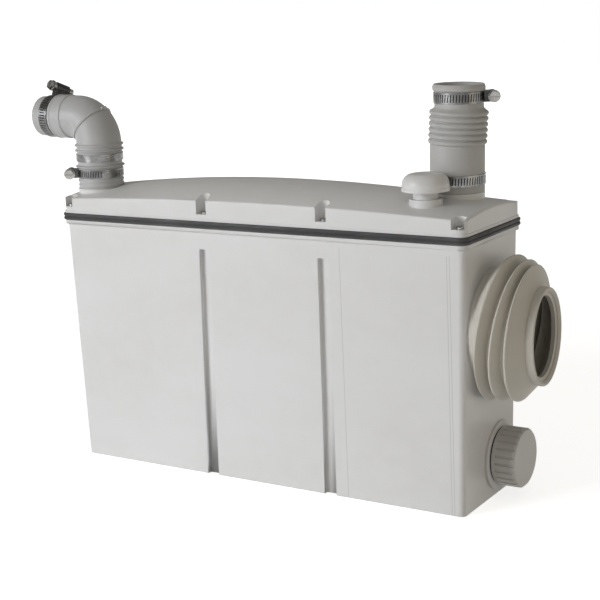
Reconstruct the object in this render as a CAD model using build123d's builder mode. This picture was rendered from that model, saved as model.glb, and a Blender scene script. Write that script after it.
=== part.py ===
from build123d import *
import math
import os

os.makedirs("parts", exist_ok=True)

# A macerator toilet pump, in millimetres. The origin is the centre of the foot,
# +X points to the pan inlet, +Y to the wall behind, and +Z up.

# Tank
tank_length = 500.0
tank_width = 135.0
tank_height = 277.0
tank_wall = 3.0
rim_thickness = 4.5
rim_inset = 3.0
rim_corner = 9.0
body_corner = 6.0
end_draft = 5.6
front_draft = 3.0
back_draft = 1.4
overrun = 5.0

# Moulded channels in the long sides, each under a lid screw
left_channel_insets = (192.5, 186.5)
right_channel_insets = (160.2, 163.0)
channel_width_top = 13.4
channel_width_foot = 14.6
channel_depth = 5.5
channel_below_rim = 23.0

# Lid screws
screw_end_inset = 9.0
screw_side_inset = 8.5
boss_radius = 5.0
screw_shank = 2.0
screw_length = 24.0
screw_head_radius = 3.9
screw_head_height = 2.6
screw_head_chamfer = 0.85
screw_clearance = 0.3
pilot_clearance = 0.05

# Lid and gasket
gasket_height = 8.0
gasket_bulge = 1.8
gasket_land = 8.5
gasket_round = 2.6
lid_wall = 3.0
lid_inset = 0.8
lid_corner = 9.0
lid_edge_round = 2.4
lid_flange = 2.5
edge_rise_end = 15.8
edge_rise_middle = 22.2
crown_rise_end = 21.3
crown_rise_middle = 38.0
pocket_width = 12.6
pocket_floor = 7.0
pocket_wall = 2.4

# Pan inlet and its bellows
wc_below_rim = 93.0
wc_y = 1.5
wc_spigot_radius = 54.0
wc_spigot_wall = 4.0
wc_spigot_length = 11.5
wc_collar_radius = 59.4
wc_collar_stand = 1.8
bellows_wall = 2.6
bellows_length = 55.0
bellows_sleeve_length = 5.5
bellows_root_radius = 58.6
crest_reach_share = (0.18, 0.436, 0.69)
crest_radii = (74.5, 72.4, 69.4)
crest_leans = (7.0, 7.5, 4.5)
crest_half = 0.9
valley_radius = 58.0
bellows_droop = 7.0
bellows_drift = 1.5
pan_bore_radius = 40.7
pan_lip_radius = 49.4
pan_lip_length = 7.0
pan_lip_round = 2.7

# Drain neck and its cap
drain_height = 41.0
drain_y = 23.5
drain_collar_radius = 36.6
drain_collar_stand = 2.6
drain_neck_radius = 26.0
drain_bore_radius = 21.0
drain_neck_length = 18.0
drain_cap_radius = 31.0
drain_cap_length = 25.0
drain_cap_floor = 4.0
drain_cap_play = 0.4
drain_seal_thickness = 2.0
drain_seal_radius = 30.0
grip_count = 24
grip_radius = 1.3
cap_chamfer = 2.0

# Waste inlet spigot on the lid and its ribbed connector
inlet_end_inset = 49.5
inlet_back_inset = 47.0
inlet_spigot_radius = 24.3
inlet_spigot_bore = 21.0
inlet_spigot_rise = 62.0
inlet_collar_radius = 27.7
hose_base_rise = 30.5
hose_radius = 27.75
hose_lean = 3.3
hose_bore_radius = 21.8
hose_play = 0.2
rib_count = 6
rib_pitch = 5.78
rib_height = 2.0
rib_crest = 1.9
rib_first_rise = 81.4
hose_neck_radius = 24.6
hose_neck_rise = 113.5
hose_lip_radius = 26.6
hose_lip_rise = 132.4
hose_top_rise = 138.6

# Vent stem and its cap
vent_end_inset = 58.3
vent_front_inset = 34.5
vent_base_radius = 16.5
vent_base_rise = 30.6
vent_neck_radius = 12.5
vent_neck_bore = 9.5
vent_cap_radius = 23.6
vent_cap_rise = 38.6
vent_cap_top_rise = 55.5
vent_cap_shoulder = 11.0
vent_cap_wall = 2.0
filter_height = 4.0
vent_rim_stand = 0.5
vent_rim_height = 3.0
vent_cap_play = 0.1

# Discharge spigot on the lid and its elbow
outlet_end_inset = 26.5
outlet_front_inset = 41.0
outlet_spigot_radius = 21.4
outlet_spigot_bore = 18.0
outlet_spigot_rise = 58.0
outlet_collar_radius = 26.2
elbow_base_rise = 25.0
elbow_play = 0.2
elbow_sleeve_radius = 24.9
elbow_waist_radius = 25.5
elbow_rib_radius = 27.6
elbow_rib_rises = (49.5, 67.5, 74.0)
elbow_rib_foot = 1.8
elbow_rib_half = 1.2
limb_collar_share = (0.16, 0.24, 0.5, 0.76)
elbow_bore_radius = 19.0
elbow_bend_rise = 76.0
elbow_bend_radius = 28.0
elbow_limb_radius = 23.9
elbow_limb_length = 50.0
elbow_neck_radius = 23.0
elbow_lip_radius = 22.6
mouth_bore_radius = 18.0
mouth_bore_length = 26.0
seam_stand = 1.3
seam_width = 2.6
seam_tab_length = 8.0
seam_tab_width = 10.0

# Hose clips
wide_band = 11.0
band_width = 9.5
slim_band = 8.0
inlet_base_clip_rise = 43.5
inlet_top_clip_rise = 125.5
elbow_base_clip_rise = 41.5
elbow_middle_clip_rise = 59.5
clip_band_thickness = 0.8
clip_seat_gap = 0.25
clip_worm_radius = 4.3
clip_worm_lift = 8.4
clip_worm_play = 0.08
clip_tunnel_wall = 1.5
clip_tunnel_length = 16.0
clip_tail_length = 4.0
clip_head_radius = 5.6
clip_head_flange = 6.2
clip_flange_thickness = 1.4
clip_head_height = 5.0
clip_slot_width = 1.4
clip_gap = 0.3
mouth_clip_skew = -15.0
mouth_screw_extra = 4.0
mouth_clip_shift = 1.4

# Inner works: deck, motor, pump, grinder
motor_end_inset = 145.0
motor_y = 0.0
deck_below_rim = 45.0
deck_thickness = 3.0
deck_left_inset = 115.0
deck_right_inset = 85.0
deck_side_gap = 15.0
ledge_height = 6.0
ledge_side_gap = 21.5
deck_screw_x_inset = 12.0
deck_screw_side_gap = 18.0
motor_radius = 46.0
motor_wall = 2.0
motor_can_height = 65.0
motor_floor = 3.0
bearing_outer = 11.0
bearing_height = 7.0
shaft_radius = 4.0
running_play = 0.05
stator_height = 36.0
stator_bore = 23.2
rotor_gap = 0.6
slot_count = 12
slot_depth = 9.0
slot_breadth = 5.0
winding_height = 6.0
winding_inner = 27.0
winding_outer = 40.0
end_cap_rise = 8.0
end_cap_radius = 37.0
column_radius = 11.0
column_bore = 7.0
column_flange = 20.0
seal_height = 6.0
volute_radius = 45.0
volute_height = 37.0
volute_wall = 5.0
volute_floor = 9.0
pipe_radius = 13.0
pipe_bore = 10.0
pipe_height = 26.0
volute_outlet_reach = 59.0
volute_stub_length = 16.0
suction_plate = 3.0
suction_eye = 15.0
cover_leg_inset = 14.0
impeller_radius = 34.0
impeller_lift = 3.0
impeller_disc = 2.5
impeller_blade_height = 15.0
impeller_hub = 9.0
blade_count = 5
blade_thickness = 2.6
blade_mid_share = (0.6, 0.16)
blade_tip_share = (0.84, 0.43)
cutter_lift = 7.0
cutter_thickness = 4.0
cutter_radius = 38.0
cutter_hub = 11.0
cutter_boss_radius = 7.7
cutter_boss_height = 4.0
column_lift = 16.0
cutter_width = 13.0
basket_radius = 44.5
basket_wall = 2.0
basket_gap = 2.5
basket_slot_width = 6.0
basket_slot_height = 26.0
basket_rows = 4
basket_columns = 7
basket_fan = 5
basket_fan_pitch = 28.0
pipe_bend = 34.0
sleeve_wall = 3.2
sleeve_end_gap = 1.0
sleeve_play = 0.2

# Non-return valve in the discharge spigot
valve_seat_height = 6.0
valve_seat_bore = 11.8
valve_disc_radius = 12.9
valve_disc_thickness = 2.4
valve_hinge_reach = 14.2
valve_pin_radius = 1.0
valve_pin_play = 0.06
valve_barrel_radius = 2.1
valve_barrel_half = 4.6
valve_pin_half = 7.2
valve_ear_thickness = 2.2
valve_ear_radius = 2.0
valve_rest_gap = 0.3

# Pressure switch
switch_end_inset = 160.0
switch_y = 8.0
dip_tube_radius = 15.0
dip_tube_wall = 2.0
dip_tube_clearance = 25.0
chamber_radius = 31.0
chamber_height = 11.0
diaphragm_thickness = 1.5
cover_height = 11.0
plunger_radius = 3.0
plunger_disc_radius = 11.0
plunger_disc_thickness = 1.8
plunger_travel = 2.5
plunger_length = 16.0
plunger_play = 0.1
microswitch_length = 27.8
microswitch_width = 10.3
microswitch_height = 15.9
post_thickness = 4.0
post_rise = 20.0

# Electrical pieces under the lid
capacitor_reach = 83.0
capacitor_y = 20.0
capacitor_radius = 17.5
capacitor_height = 62.0
capacitor_round = 2.0
capacitor_tab = 6.3
capacitor_tab_thickness = 0.8
terminal_reach = 127.0
terminal_length = 44.0
terminal_width = 14.0
terminal_height = 15.0
terminal_ways = 4
terminal_screw_radius = 2.75
terminal_screw_depth = 5.0
gland_rise = 11.0
gland_thread_radius = 8.0
gland_nut_radius = 9.2
gland_bore = 4.2
gland_nut_length = 5.0
gland_dome_length = 11.0
gland_thread_length = 12.0
gland_dome_taper = 1.5

# Levels and places worked out from the sizes above
rim_z = tank_height
shoulder_z = rim_z - rim_thickness
lid_z = rim_z + gasket_height
body_length = tank_length - 2 * rim_inset
body_width = tank_width - 2 * rim_inset
deck_z = rim_z - deck_below_rim
wc_z = rim_z - wc_below_rim
pipe_z = pipe_height
half_length = tank_length / 2
half_width = tank_width / 2
channel_places = {
    "left": [inset - half_length for inset in left_channel_insets],
    "right": [half_length - inset for inset in right_channel_insets],
}
corner_screw_x = half_length - screw_end_inset
screw_y = half_width - screw_side_inset
inlet_x = half_length - inlet_end_inset
inlet_y = half_width - inlet_back_inset
vent_x = half_length - vent_end_inset
vent_y = vent_front_inset - half_width
outlet_x = outlet_end_inset - half_length
outlet_y = outlet_front_inset - half_width
motor_x = half_length - motor_end_inset
deck_left = deck_left_inset - half_length
deck_right = half_length - deck_right_inset
deck_half_width = half_width - deck_side_gap
deck_screw_y = half_width - deck_screw_side_gap
ledge_reach = half_width - ledge_side_gap
switch_x = switch_end_inset - half_length
capacitor_x = motor_x - capacitor_reach
terminal_x = motor_x - terminal_reach
gland_x = terminal_x


def roof_rises(x, drop):
    """Heights of the lid's long edges and of its crown at x, each lowered by drop."""
    share = (x / (tank_length / 2)) ** 2
    edge = edge_rise_middle - (edge_rise_middle - edge_rise_end) * share
    crown = crown_rise_middle - (crown_rise_middle - crown_rise_end) * share
    return lid_z + edge - drop, lid_z + crown - drop


def roof_z(x, y):
    """Height of the lid's outer face above the foot at one place."""
    edge, crown = roof_rises(x, 0)
    return edge + (crown - edge) * (1 - (y / (tank_width / 2)) ** 2)


def body_half(z):
    """Half length of the tank's body, and its front and back faces, at height z."""
    share = 1 - z / shoulder_z
    half = body_length / 2 - end_draft * share
    front = -body_width / 2 + front_draft * share
    back = body_width / 2 - back_draft * share
    return half, front, back


def roofed_block(wall, corner):
    """A block with the lid's plan and arched roof, drawn in by one wall."""
    half = tank_length / 2 - lid_inset - wall
    width = tank_width - 2 * (lid_inset + wall)
    stations_share = (-1, -0.5, 0, 0.5, 1)
    with BuildPart() as block:
        for share in stations_share:
            x = share * tank_length / 2
            edge, crown = roof_rises(x, wall)
            with BuildSketch(Plane.YZ.offset(x)):
                with BuildLine():
                    Line((-width / 2, edge), (-width / 2, lid_z))
                    Line((-width / 2, lid_z), (width / 2, lid_z))
                    Line((width / 2, lid_z), (width / 2, edge))
                    ThreePointArc((width / 2, edge), (0, crown), (-width / 2, edge))
                make_face()
        loft()
        with BuildSketch(Plane.XY.offset(lid_z)):
            RectangleRounded(2 * half, width, corner)
        extrude(amount=crown_rise_middle + overrun, mode=Mode.INTERSECT)
    return block.part


def through_circles(stations, plane_at):
    """A ruled skin through circles, each given by its distance, radius and plane."""
    with BuildPart() as skin:
        for distance, radius in stations:
            with BuildSketch(plane_at(distance)):
                Circle(radius)
        loft(ruled=True)
    return skin.part


# Tank: a tapered open box with a rim, two moulded channels a side and its necks
half_foot, front_foot, back_foot = body_half(0)
floor_half, floor_front, floor_back = body_half(tank_wall)
wc_wall_x = body_half(wc_z)[0]
drain_wall_x = body_half(drain_height)[0]
drain_collar_x = drain_wall_x + drain_collar_stand
wc_spigot_end = wc_wall_x + wc_spigot_length
channel_top = rim_z - channel_below_rim
screw_xs = [-corner_screw_x, corner_screw_x] + [place[0] for place in channel_places.values()]

with BuildPart() as tank:
    with BuildSketch(Plane.XY):
        with Locations((0, (front_foot + back_foot) / 2)):
            RectangleRounded(2 * half_foot, back_foot - front_foot, body_corner)
    with BuildSketch(Plane.XY.offset(shoulder_z)):
        RectangleRounded(body_length, body_width, body_corner)
    loft(ruled=True)
    with BuildSketch(Plane.XY.offset(shoulder_z)):
        RectangleRounded(tank_length, tank_width, rim_corner)
    extrude(amount=rim_thickness)
    with BuildSketch(Plane.XY.offset(tank_wall)):
        with Locations((0, (floor_front + floor_back) / 2)):
            RectangleRounded(
                2 * (floor_half - tank_wall),
                floor_back - floor_front - 2 * tank_wall,
                body_corner - tank_wall,
            )
    with BuildSketch(Plane.XY.offset(rim_z)):
        RectangleRounded(
            body_length - 2 * tank_wall, body_width - 2 * tank_wall, body_corner - tank_wall
        )
    loft(ruled=True, mode=Mode.SUBTRACT)
    for top_x, foot_x in channel_places.values():
        for side in (-1, 1):
            for level, x, width in (
                (0, foot_x, channel_width_foot),
                (channel_top + tank_wall, top_x, channel_width_top),
            ):
                face = body_half(level)[1] if side < 0 else body_half(level)[2]
                with BuildSketch(Plane.XY.offset(level)):
                    with Locations((x, face - side * (tank_wall + channel_depth) / 2)):
                        Rectangle(width + 2 * tank_wall, channel_depth + tank_wall)
            loft(ruled=True)
    for top_x, foot_x in channel_places.values():
        for side in (-1, 1):
            for level, x, width in (
                (-overrun, foot_x, channel_width_foot),
                (channel_top, top_x, channel_width_top),
            ):
                face = body_half(level)[1] if side < 0 else body_half(level)[2]
                with BuildSketch(Plane.XY.offset(level)):
                    with Locations((x, face + side * (overrun - channel_depth) / 2)):
                        Rectangle(width, overrun + channel_depth)
            loft(ruled=True, mode=Mode.SUBTRACT)
    with BuildSketch(Plane.XY.offset(channel_top)):
        with Locations([(x, side * screw_y) for x in screw_xs for side in (-1, 1)]):
            Circle(boss_radius)
    extrude(amount=channel_below_rim)
    for side in (-1, 1):
        inner = body_half(deck_z)[2] - tank_wall / 2
        with BuildSketch(Plane.XY.offset(deck_z - ledge_height)):
            with Locations(((deck_left + deck_right) / 2, side * (inner + ledge_reach) / 2)):
                Rectangle(deck_right - deck_left, inner - ledge_reach)
        extrude(amount=ledge_height)
    with BuildSketch(Plane.YZ.offset(wc_wall_x - tank_wall)):
        with Locations((wc_y, wc_z)):
            Circle(wc_collar_radius)
    extrude(amount=wc_collar_stand + tank_wall)
    with BuildSketch(Plane.YZ.offset(wc_wall_x - tank_wall - wc_spigot_wall)):
        with Locations((wc_y, wc_z)):
            Circle(wc_spigot_radius)
    extrude(amount=wc_spigot_end - wc_wall_x + tank_wall + wc_spigot_wall)
    with BuildSketch(Plane.YZ.offset(wc_wall_x - tank_wall - overrun)):
        with Locations((wc_y, wc_z)):
            Circle(wc_spigot_radius - wc_spigot_wall)
    extrude(amount=wc_spigot_length + tank_wall + 2 * overrun, mode=Mode.SUBTRACT)
    with BuildSketch(Plane.YZ.offset(drain_wall_x - tank_wall)):
        with Locations((drain_y, drain_height)):
            Circle(drain_collar_radius)
    extrude(amount=drain_collar_stand + tank_wall)
    with BuildSketch(Plane.YZ.offset(drain_collar_x)):
        with Locations((drain_y, drain_height)):
            Circle(drain_neck_radius)
    extrude(amount=drain_neck_length)
    with BuildSketch(Plane.YZ.offset(drain_wall_x - tank_wall - overrun)):
        with Locations((drain_y, drain_height)):
            Circle(drain_bore_radius)
    extrude(amount=drain_neck_length + tank_wall + 2 * overrun, mode=Mode.SUBTRACT)
    with BuildSketch(Plane.XY.offset(rim_z)):
        with Locations([(x, side * screw_y) for x in screw_xs for side in (-1, 1)]):
            Circle(screw_shank + pilot_clearance)
    extrude(amount=-screw_length, mode=Mode.SUBTRACT)
    with BuildSketch(Plane.XY.offset(deck_z)):
        with Locations(
            [
                (x, side * deck_screw_y)
                for x in (deck_left + deck_screw_x_inset, deck_right - deck_screw_x_inset)
                for side in (-1, 1)
            ]
        ):
            Circle(screw_shank + pilot_clearance)
    extrude(amount=-ledge_height, mode=Mode.SUBTRACT)
tank.part.label = "tank"
export_step(tank.part, "parts/tank.step")

# Lid gasket: a ring of rubber with a rounded outer bead, holed for the lid screws
with BuildPart() as lid_gasket:
    with BuildSketch(Plane.XY.offset(rim_z)):
        RectangleRounded(
            tank_length + 2 * gasket_bulge, tank_width + 2 * gasket_bulge, rim_corner + gasket_bulge
        )
    extrude(amount=gasket_height)
    bead = lid_gasket.faces().filter_by(Axis.Z).edges()
    fillet(bead, gasket_round)
    with BuildSketch(Plane.XY.offset(rim_z - overrun)):
        RectangleRounded(
            tank_length - 2 * gasket_land, tank_width - 2 * gasket_land, rim_corner
        )
        with Locations([(x, side * screw_y) for x in screw_xs for side in (-1, 1)]):
            Circle(screw_shank + screw_clearance)
    extrude(amount=gasket_height + 2 * overrun, mode=Mode.SUBTRACT)
lid_gasket.part.label = "lid_gasket"
export_step(lid_gasket.part, "parts/lid_gasket.step")

# Lid: an arched shell with screw pockets cut down through its long edges
lid_outer = roofed_block(0, lid_corner)
lid_inner = roofed_block(lid_wall, lid_corner - lid_wall)
inlet_roof = roof_z(inlet_x, inlet_y)
outlet_roof = roof_z(outlet_x, outlet_y)
vent_roof = roof_z(vent_x, vent_y)
outlet_floor_z = outlet_roof - lid_wall - 2 * pilot_clearance
valve_seat_z = outlet_floor_z + lid_wall
stub_z = lid_z
pocket_reach = tank_width / 2 - screw_y
vent_neck_rise = vent_cap_top_rise - vent_cap_wall - filter_height

with BuildPart() as pocket_bosses:
    with BuildSketch(Plane.XY.offset(lid_z)):
        for x in screw_xs:
            for side in (-1, 1):
                with Locations((x, side * screw_y)):
                    Circle(pocket_width / 2 + pocket_wall)
                with Locations((x, side * (screw_y + pocket_reach))):
                    Rectangle(pocket_width + 2 * pocket_wall, 2 * pocket_reach)
    extrude(amount=crown_rise_middle)
    add(lid_outer, mode=Mode.INTERSECT)

with BuildPart() as lid:
    add(lid_outer)
    fillet(lid.edges().group_by(Axis.Z)[-1] + lid.faces().sort_by(SortBy.AREA)[-2:].edges()
           .filter_by(lambda edge: edge.center().Z > lid_z + edge_rise_end / 2), lid_edge_round)
    add(lid_inner, mode=Mode.SUBTRACT)
    add(pocket_bosses.part)
    with BuildSketch(Plane.XY.offset(lid_z)):
        RectangleRounded(tank_length, tank_width, rim_corner)
        RectangleRounded(
            tank_length - 2 * (lid_inset + lid_wall),
            tank_width - 2 * (lid_inset + lid_wall),
            lid_corner - lid_wall,
            mode=Mode.SUBTRACT,
        )
    extrude(amount=lid_flange)
    with BuildSketch(Plane.XY.offset(lid_z + pocket_floor)):
        for x in screw_xs:
            for side in (-1, 1):
                with Locations((x, side * screw_y)):
                    Circle(pocket_width / 2)
                with Locations((x, side * (screw_y + pocket_reach))):
                    Rectangle(pocket_width, 2 * pocket_reach)
    extrude(amount=crown_rise_middle, mode=Mode.SUBTRACT)
    with BuildSketch(Plane.XY.offset(lid_z - overrun)):
        with Locations([(x, side * screw_y) for x in screw_xs for side in (-1, 1)]):
            Circle(screw_shank + screw_clearance)
    extrude(amount=pocket_floor + 2 * overrun, mode=Mode.SUBTRACT)
    with BuildSketch(Plane.XY.offset(inlet_roof - 2 * lid_wall)):
        with Locations((inlet_x, inlet_y)):
            Circle(inlet_spigot_radius)
    extrude(amount=lid_z + inlet_spigot_rise - inlet_roof + 2 * lid_wall)
    with BuildSketch(Plane.XY.offset(inlet_roof - 2 * lid_wall)):
        with Locations((inlet_x, inlet_y)):
            Circle(inlet_collar_radius)
    extrude(amount=lid_z + hose_base_rise - inlet_roof + 2 * lid_wall)
    with BuildSketch(Plane.XY.offset(inlet_roof - 2 * lid_wall - overrun)):
        with Locations((inlet_x, inlet_y)):
            Circle(inlet_spigot_bore)
    extrude(amount=inlet_spigot_rise + overrun, mode=Mode.SUBTRACT)
    with BuildSketch(Plane.XY.offset(vent_roof - 2 * lid_wall)):
        with Locations((vent_x, vent_y)):
            Circle(vent_base_radius)
    extrude(amount=lid_z + vent_base_rise - vent_roof + 2 * lid_wall)
    with BuildSketch(Plane.XY.offset(lid_z + vent_base_rise)):
        with Locations((vent_x, vent_y)):
            Circle(vent_neck_radius)
    extrude(amount=vent_neck_rise - vent_base_rise)
    with BuildSketch(Plane.XY.offset(vent_roof - 2 * lid_wall - overrun)):
        with Locations((vent_x, vent_y)):
            Circle(vent_neck_bore)
    extrude(amount=vent_neck_rise, mode=Mode.SUBTRACT)
    with BuildSketch(Plane.XY.offset(outlet_floor_z - lid_wall)):
        with Locations((outlet_x, outlet_y)):
            Circle(outlet_collar_radius)
    extrude(amount=lid_z + elbow_base_rise - outlet_floor_z + lid_wall)
    with BuildSketch(Plane.XY.offset(lid_z + elbow_base_rise)):
        with Locations((outlet_x, outlet_y)):
            Circle(outlet_collar_radius)
    extrude(amount=overrun, mode=Mode.SUBTRACT)
    with BuildSketch(Plane.XY.offset(lid_z + elbow_base_rise)):
        with Locations((outlet_x, outlet_y)):
            Circle(outlet_spigot_radius)
    extrude(amount=outlet_spigot_rise - elbow_base_rise)
    with BuildSketch(Plane.XY.offset(stub_z)):
        with Locations((outlet_x, outlet_y)):
            Circle(pipe_radius)
    extrude(amount=outlet_floor_z - stub_z)
    with BuildSketch(Plane.XY.offset(outlet_floor_z)):
        with Locations((outlet_x, outlet_y)):
            Circle(outlet_spigot_bore)
    extrude(amount=outlet_spigot_rise, mode=Mode.SUBTRACT)
    with BuildSketch(Plane.XY.offset(stub_z - overrun)):
        with Locations((outlet_x, outlet_y)):
            Circle(pipe_bore)
    extrude(amount=outlet_floor_z - stub_z + 2 * overrun, mode=Mode.SUBTRACT)
    with BuildSketch(Plane.XZ.offset(-tank_width / 2 - overrun)):
        with Locations((gland_x, lid_z + gland_rise)):
            Circle(gland_thread_radius + pilot_clearance)
    extrude(amount=lid_wall + 2 * overrun, mode=Mode.SUBTRACT)
lid.part.label = "lid"
export_step(lid.part, "parts/lid.step")

# Lid screws: eight alike, standing in the lid's pockets
with BuildPart() as lid_screws:
    with BuildSketch(Plane.XY.offset(lid_z + pocket_floor)):
        with Locations([(x, side * screw_y) for x in screw_xs for side in (-1, 1)]):
            Circle(screw_head_radius)
    extrude(amount=screw_head_height)
    chamfer(
        lid_screws.faces().filter_by(Axis.Z).group_by(Axis.Z)[-1].edges(),
        screw_head_chamfer,
    )
    with BuildSketch(Plane.XY.offset(lid_z + pocket_floor)):
        with Locations([(x, side * screw_y) for x in screw_xs for side in (-1, 1)]):
            Circle(screw_shank)
    extrude(amount=-screw_length)
lid_screws.part.label = "lid_screws"
export_step(lid_screws.part, "parts/lid_screws.step")

# Pan inlet bellows: three folds, then a cone to the thick lip that grips the pan
bellows_start = wc_wall_x + wc_collar_stand
bellows_fold_start = bellows_start + bellows_sleeve_length
bellows_end = bellows_start + bellows_length
lip_start = bellows_end - pan_lip_length
crest_xs = [bellows_start + share * bellows_length for share in crest_reach_share]
lean_places = [(bellows_fold_start, 0), *zip(crest_xs, crest_leans), (lip_start, 0)]


def bellows_plane(x):
    """A plane across the bellows, which sinks and drifts; its folds lean outward at the top."""
    share = min(1, max(0, (x - wc_spigot_end) / (lip_start - wc_spigot_end)))
    lean = 0
    for (near_x, near_lean), (far_x, far_lean) in zip(lean_places, lean_places[1:]):
        if near_x <= x <= far_x:
            lean = near_lean + (far_lean - near_lean) * (x - near_x) / (far_x - near_x)
    turn = math.radians(lean)
    return Plane(
        origin=(x, wc_y + bellows_drift * share, wc_z - bellows_droop * share),
        x_dir=(0, 1, 0),
        z_dir=(math.cos(turn), 0, -math.sin(turn)),
    )


def bellows_stations(inward):
    """Distances and radii along the bellows, drawn inward by a wall."""
    stations = [(bellows_fold_start, bellows_root_radius - inward)]
    for place, (x, radius) in enumerate(zip(crest_xs, crest_radii)):
        stations.append((x - crest_half, radius - inward))
        stations.append((x + crest_half, radius - inward))
        if place < len(crest_xs) - 1:
            valley = (x + crest_xs[place + 1]) / 2
            stations.append((valley - crest_half, valley_radius - inward))
            stations.append((valley + crest_half, valley_radius - inward))
    stations.append((lip_start, pan_lip_radius + crest_half - inward))
    return stations


bellows_outside = through_circles(bellows_stations(0), bellows_plane)
bellows_inside = through_circles(bellows_stations(bellows_wall), bellows_plane)

with BuildPart() as wc_bellows:
    add(bellows_outside)
    with BuildSketch(bellows_plane(bellows_start)):
        Circle(bellows_root_radius)
    extrude(amount=bellows_fold_start - bellows_start)
    with BuildSketch(bellows_plane(lip_start)):
        Circle(pan_lip_radius)
    extrude(amount=pan_lip_length)
    fillet(wc_bellows.faces().sort_by(Axis.X)[-1].edges(), pan_lip_round)
    add(bellows_inside, mode=Mode.SUBTRACT)
    with BuildSketch(bellows_plane(bellows_start - overrun)):
        Circle(wc_spigot_radius + pilot_clearance)
    extrude(amount=bellows_fold_start - bellows_start + overrun, mode=Mode.SUBTRACT)
    with BuildSketch(bellows_plane(lip_start)):
        Circle(pan_bore_radius)
    extrude(amount=pan_lip_length + overrun, mode=Mode.SUBTRACT)
wc_bellows.part.label = "wc_bellows"
export_step(wc_bellows.part, "parts/wc_bellows.step")

# Drain seal and the ribbed cap that screws over the drain neck
drain_seal_x = drain_collar_x
drain_cap_x = drain_seal_x + drain_seal_thickness

with BuildPart() as drain_seal:
    with BuildSketch(Plane.YZ.offset(drain_seal_x)):
        with Locations((drain_y, drain_height)):
            Circle(drain_seal_radius)
            Circle(drain_neck_radius + clip_gap, mode=Mode.SUBTRACT)
    extrude(amount=drain_seal_thickness)
drain_seal.part.label = "drain_seal"
export_step(drain_seal.part, "parts/drain_seal.step")

with BuildPart() as drain_cap:
    with BuildSketch(Plane.YZ.offset(drain_cap_x)):
        with Locations((drain_y, drain_height)):
            Circle(drain_cap_radius)
    extrude(amount=drain_cap_length)
    chamfer(drain_cap.faces().sort_by(Axis.X)[-1].edges(), cap_chamfer)
    with BuildSketch(Plane.YZ.offset(drain_cap_x + 2 * cap_chamfer)):
        with Locations((drain_y, drain_height)):
            with PolarLocations(drain_cap_radius, grip_count):
                Circle(grip_radius)
    extrude(amount=drain_cap_length, mode=Mode.SUBTRACT)
    with BuildSketch(Plane.YZ.offset(drain_cap_x)):
        with Locations((drain_y, drain_height)):
            Circle(drain_neck_radius + drain_cap_play)
    extrude(amount=drain_cap_length - drain_cap_floor, mode=Mode.SUBTRACT)
drain_cap.part.label = "drain_cap"
export_step(drain_cap.part, "parts/drain_cap.step")

# Vent cap, pushed over the stem, with a disc of charcoal foam in its sleeve
vent_cap_z = lid_z + vent_cap_rise
vent_cap_top = lid_z + vent_cap_top_rise
vent_sleeve_bore = vent_neck_radius + vent_cap_play

with BuildPart() as vent_cap:
    with BuildSketch(Plane.XY.offset(vent_cap_z)):
        with Locations((vent_x, vent_y)):
            Circle(vent_cap_radius)
    extrude(amount=vent_cap_top - vent_cap_z)
    fillet(vent_cap.faces().sort_by(Axis.Z)[-1].edges(), vent_cap_shoulder)
    offset(openings=vent_cap.faces().sort_by(Axis.Z)[0], amount=-vent_cap_wall)
    with BuildSketch(Plane.XY.offset(vent_cap_z)):
        with Locations((vent_x, vent_y)):
            Circle(vent_cap_radius + vent_rim_stand)
            Circle(vent_cap_radius - vent_cap_wall, mode=Mode.SUBTRACT)
    extrude(amount=vent_rim_height)
    with BuildSketch(Plane.XY.offset(vent_cap_z + vent_rim_height)):
        with Locations((vent_x, vent_y)):
            Circle(vent_sleeve_bore + vent_cap_wall)
            Circle(vent_sleeve_bore, mode=Mode.SUBTRACT)
    extrude(until=Until.NEXT)
vent_cap.part.label = "vent_cap"
export_step(vent_cap.part, "parts/vent_cap.step")

with BuildPart() as vent_filter:
    with BuildSketch(Plane.XY.offset(vent_cap_top - vent_cap_wall - filter_height)):
        with Locations((vent_x, vent_y)):
            Circle(vent_sleeve_bore - vent_cap_play)
    extrude(amount=filter_height)
vent_filter.part.label = "vent_filter"
export_step(vent_filter.part, "parts/vent_filter.step")

# Ribbed waste inlet connector, pushed over the lid's spigot and leaning a little
hose_base_z = lid_z + hose_base_rise
hose_top_z = lid_z + hose_top_rise
rib_first_z = lid_z + rib_first_rise
hose_lean_start = lid_z + inlet_spigot_rise + overrun
hose_neck_z = lid_z + hose_neck_rise
hose_lip_z = lid_z + hose_lip_rise
hose_sleeve_radius = inlet_spigot_radius + hose_play


def hose_plane(z):
    """A level plane across the hose, shifted by its lean."""
    share = min(1, max(0, (z - hose_lean_start) / (hose_neck_z - hose_lean_start)))
    return Plane(origin=(inlet_x + hose_lean * share, inlet_y, z), x_dir=(1, 0, 0))


hose_stations = [(hose_base_z, hose_radius), (hose_lean_start, hose_radius)]
for place in range(rib_count):
    crest = rib_first_z + place * rib_pitch
    hose_stations.append((crest - rib_pitch / 2 + rib_crest / 4, hose_radius - rib_height / 4))
    hose_stations.append((crest - rib_crest / 2, hose_radius + rib_height))
    hose_stations.append((crest + rib_crest / 2, hose_radius + rib_height))
    hose_stations.append((crest + rib_pitch / 2 - rib_crest / 4, hose_radius - rib_height / 4))
hose_stations.append((hose_neck_z, hose_neck_radius))
hose_stations.append((hose_lip_z - rib_crest / 2, hose_neck_radius))
hose_stations.append((hose_lip_z + rib_crest / 2, hose_lip_radius))
hose_stations.append((hose_top_z - rib_crest / 2, hose_lip_radius))
hose_stations.append((hose_top_z, hose_lip_radius - rib_crest / 2))
hose_bore_stations = [
    (hose_base_z - overrun, hose_sleeve_radius),
    (lid_z + inlet_spigot_rise, hose_sleeve_radius),
    (hose_lean_start, hose_bore_radius),
    (hose_neck_z, hose_bore_radius),
    (hose_top_z + overrun, hose_bore_radius),
]
hose_outside = through_circles(hose_stations, hose_plane)
hose_inside = through_circles(hose_bore_stations, hose_plane)

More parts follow.
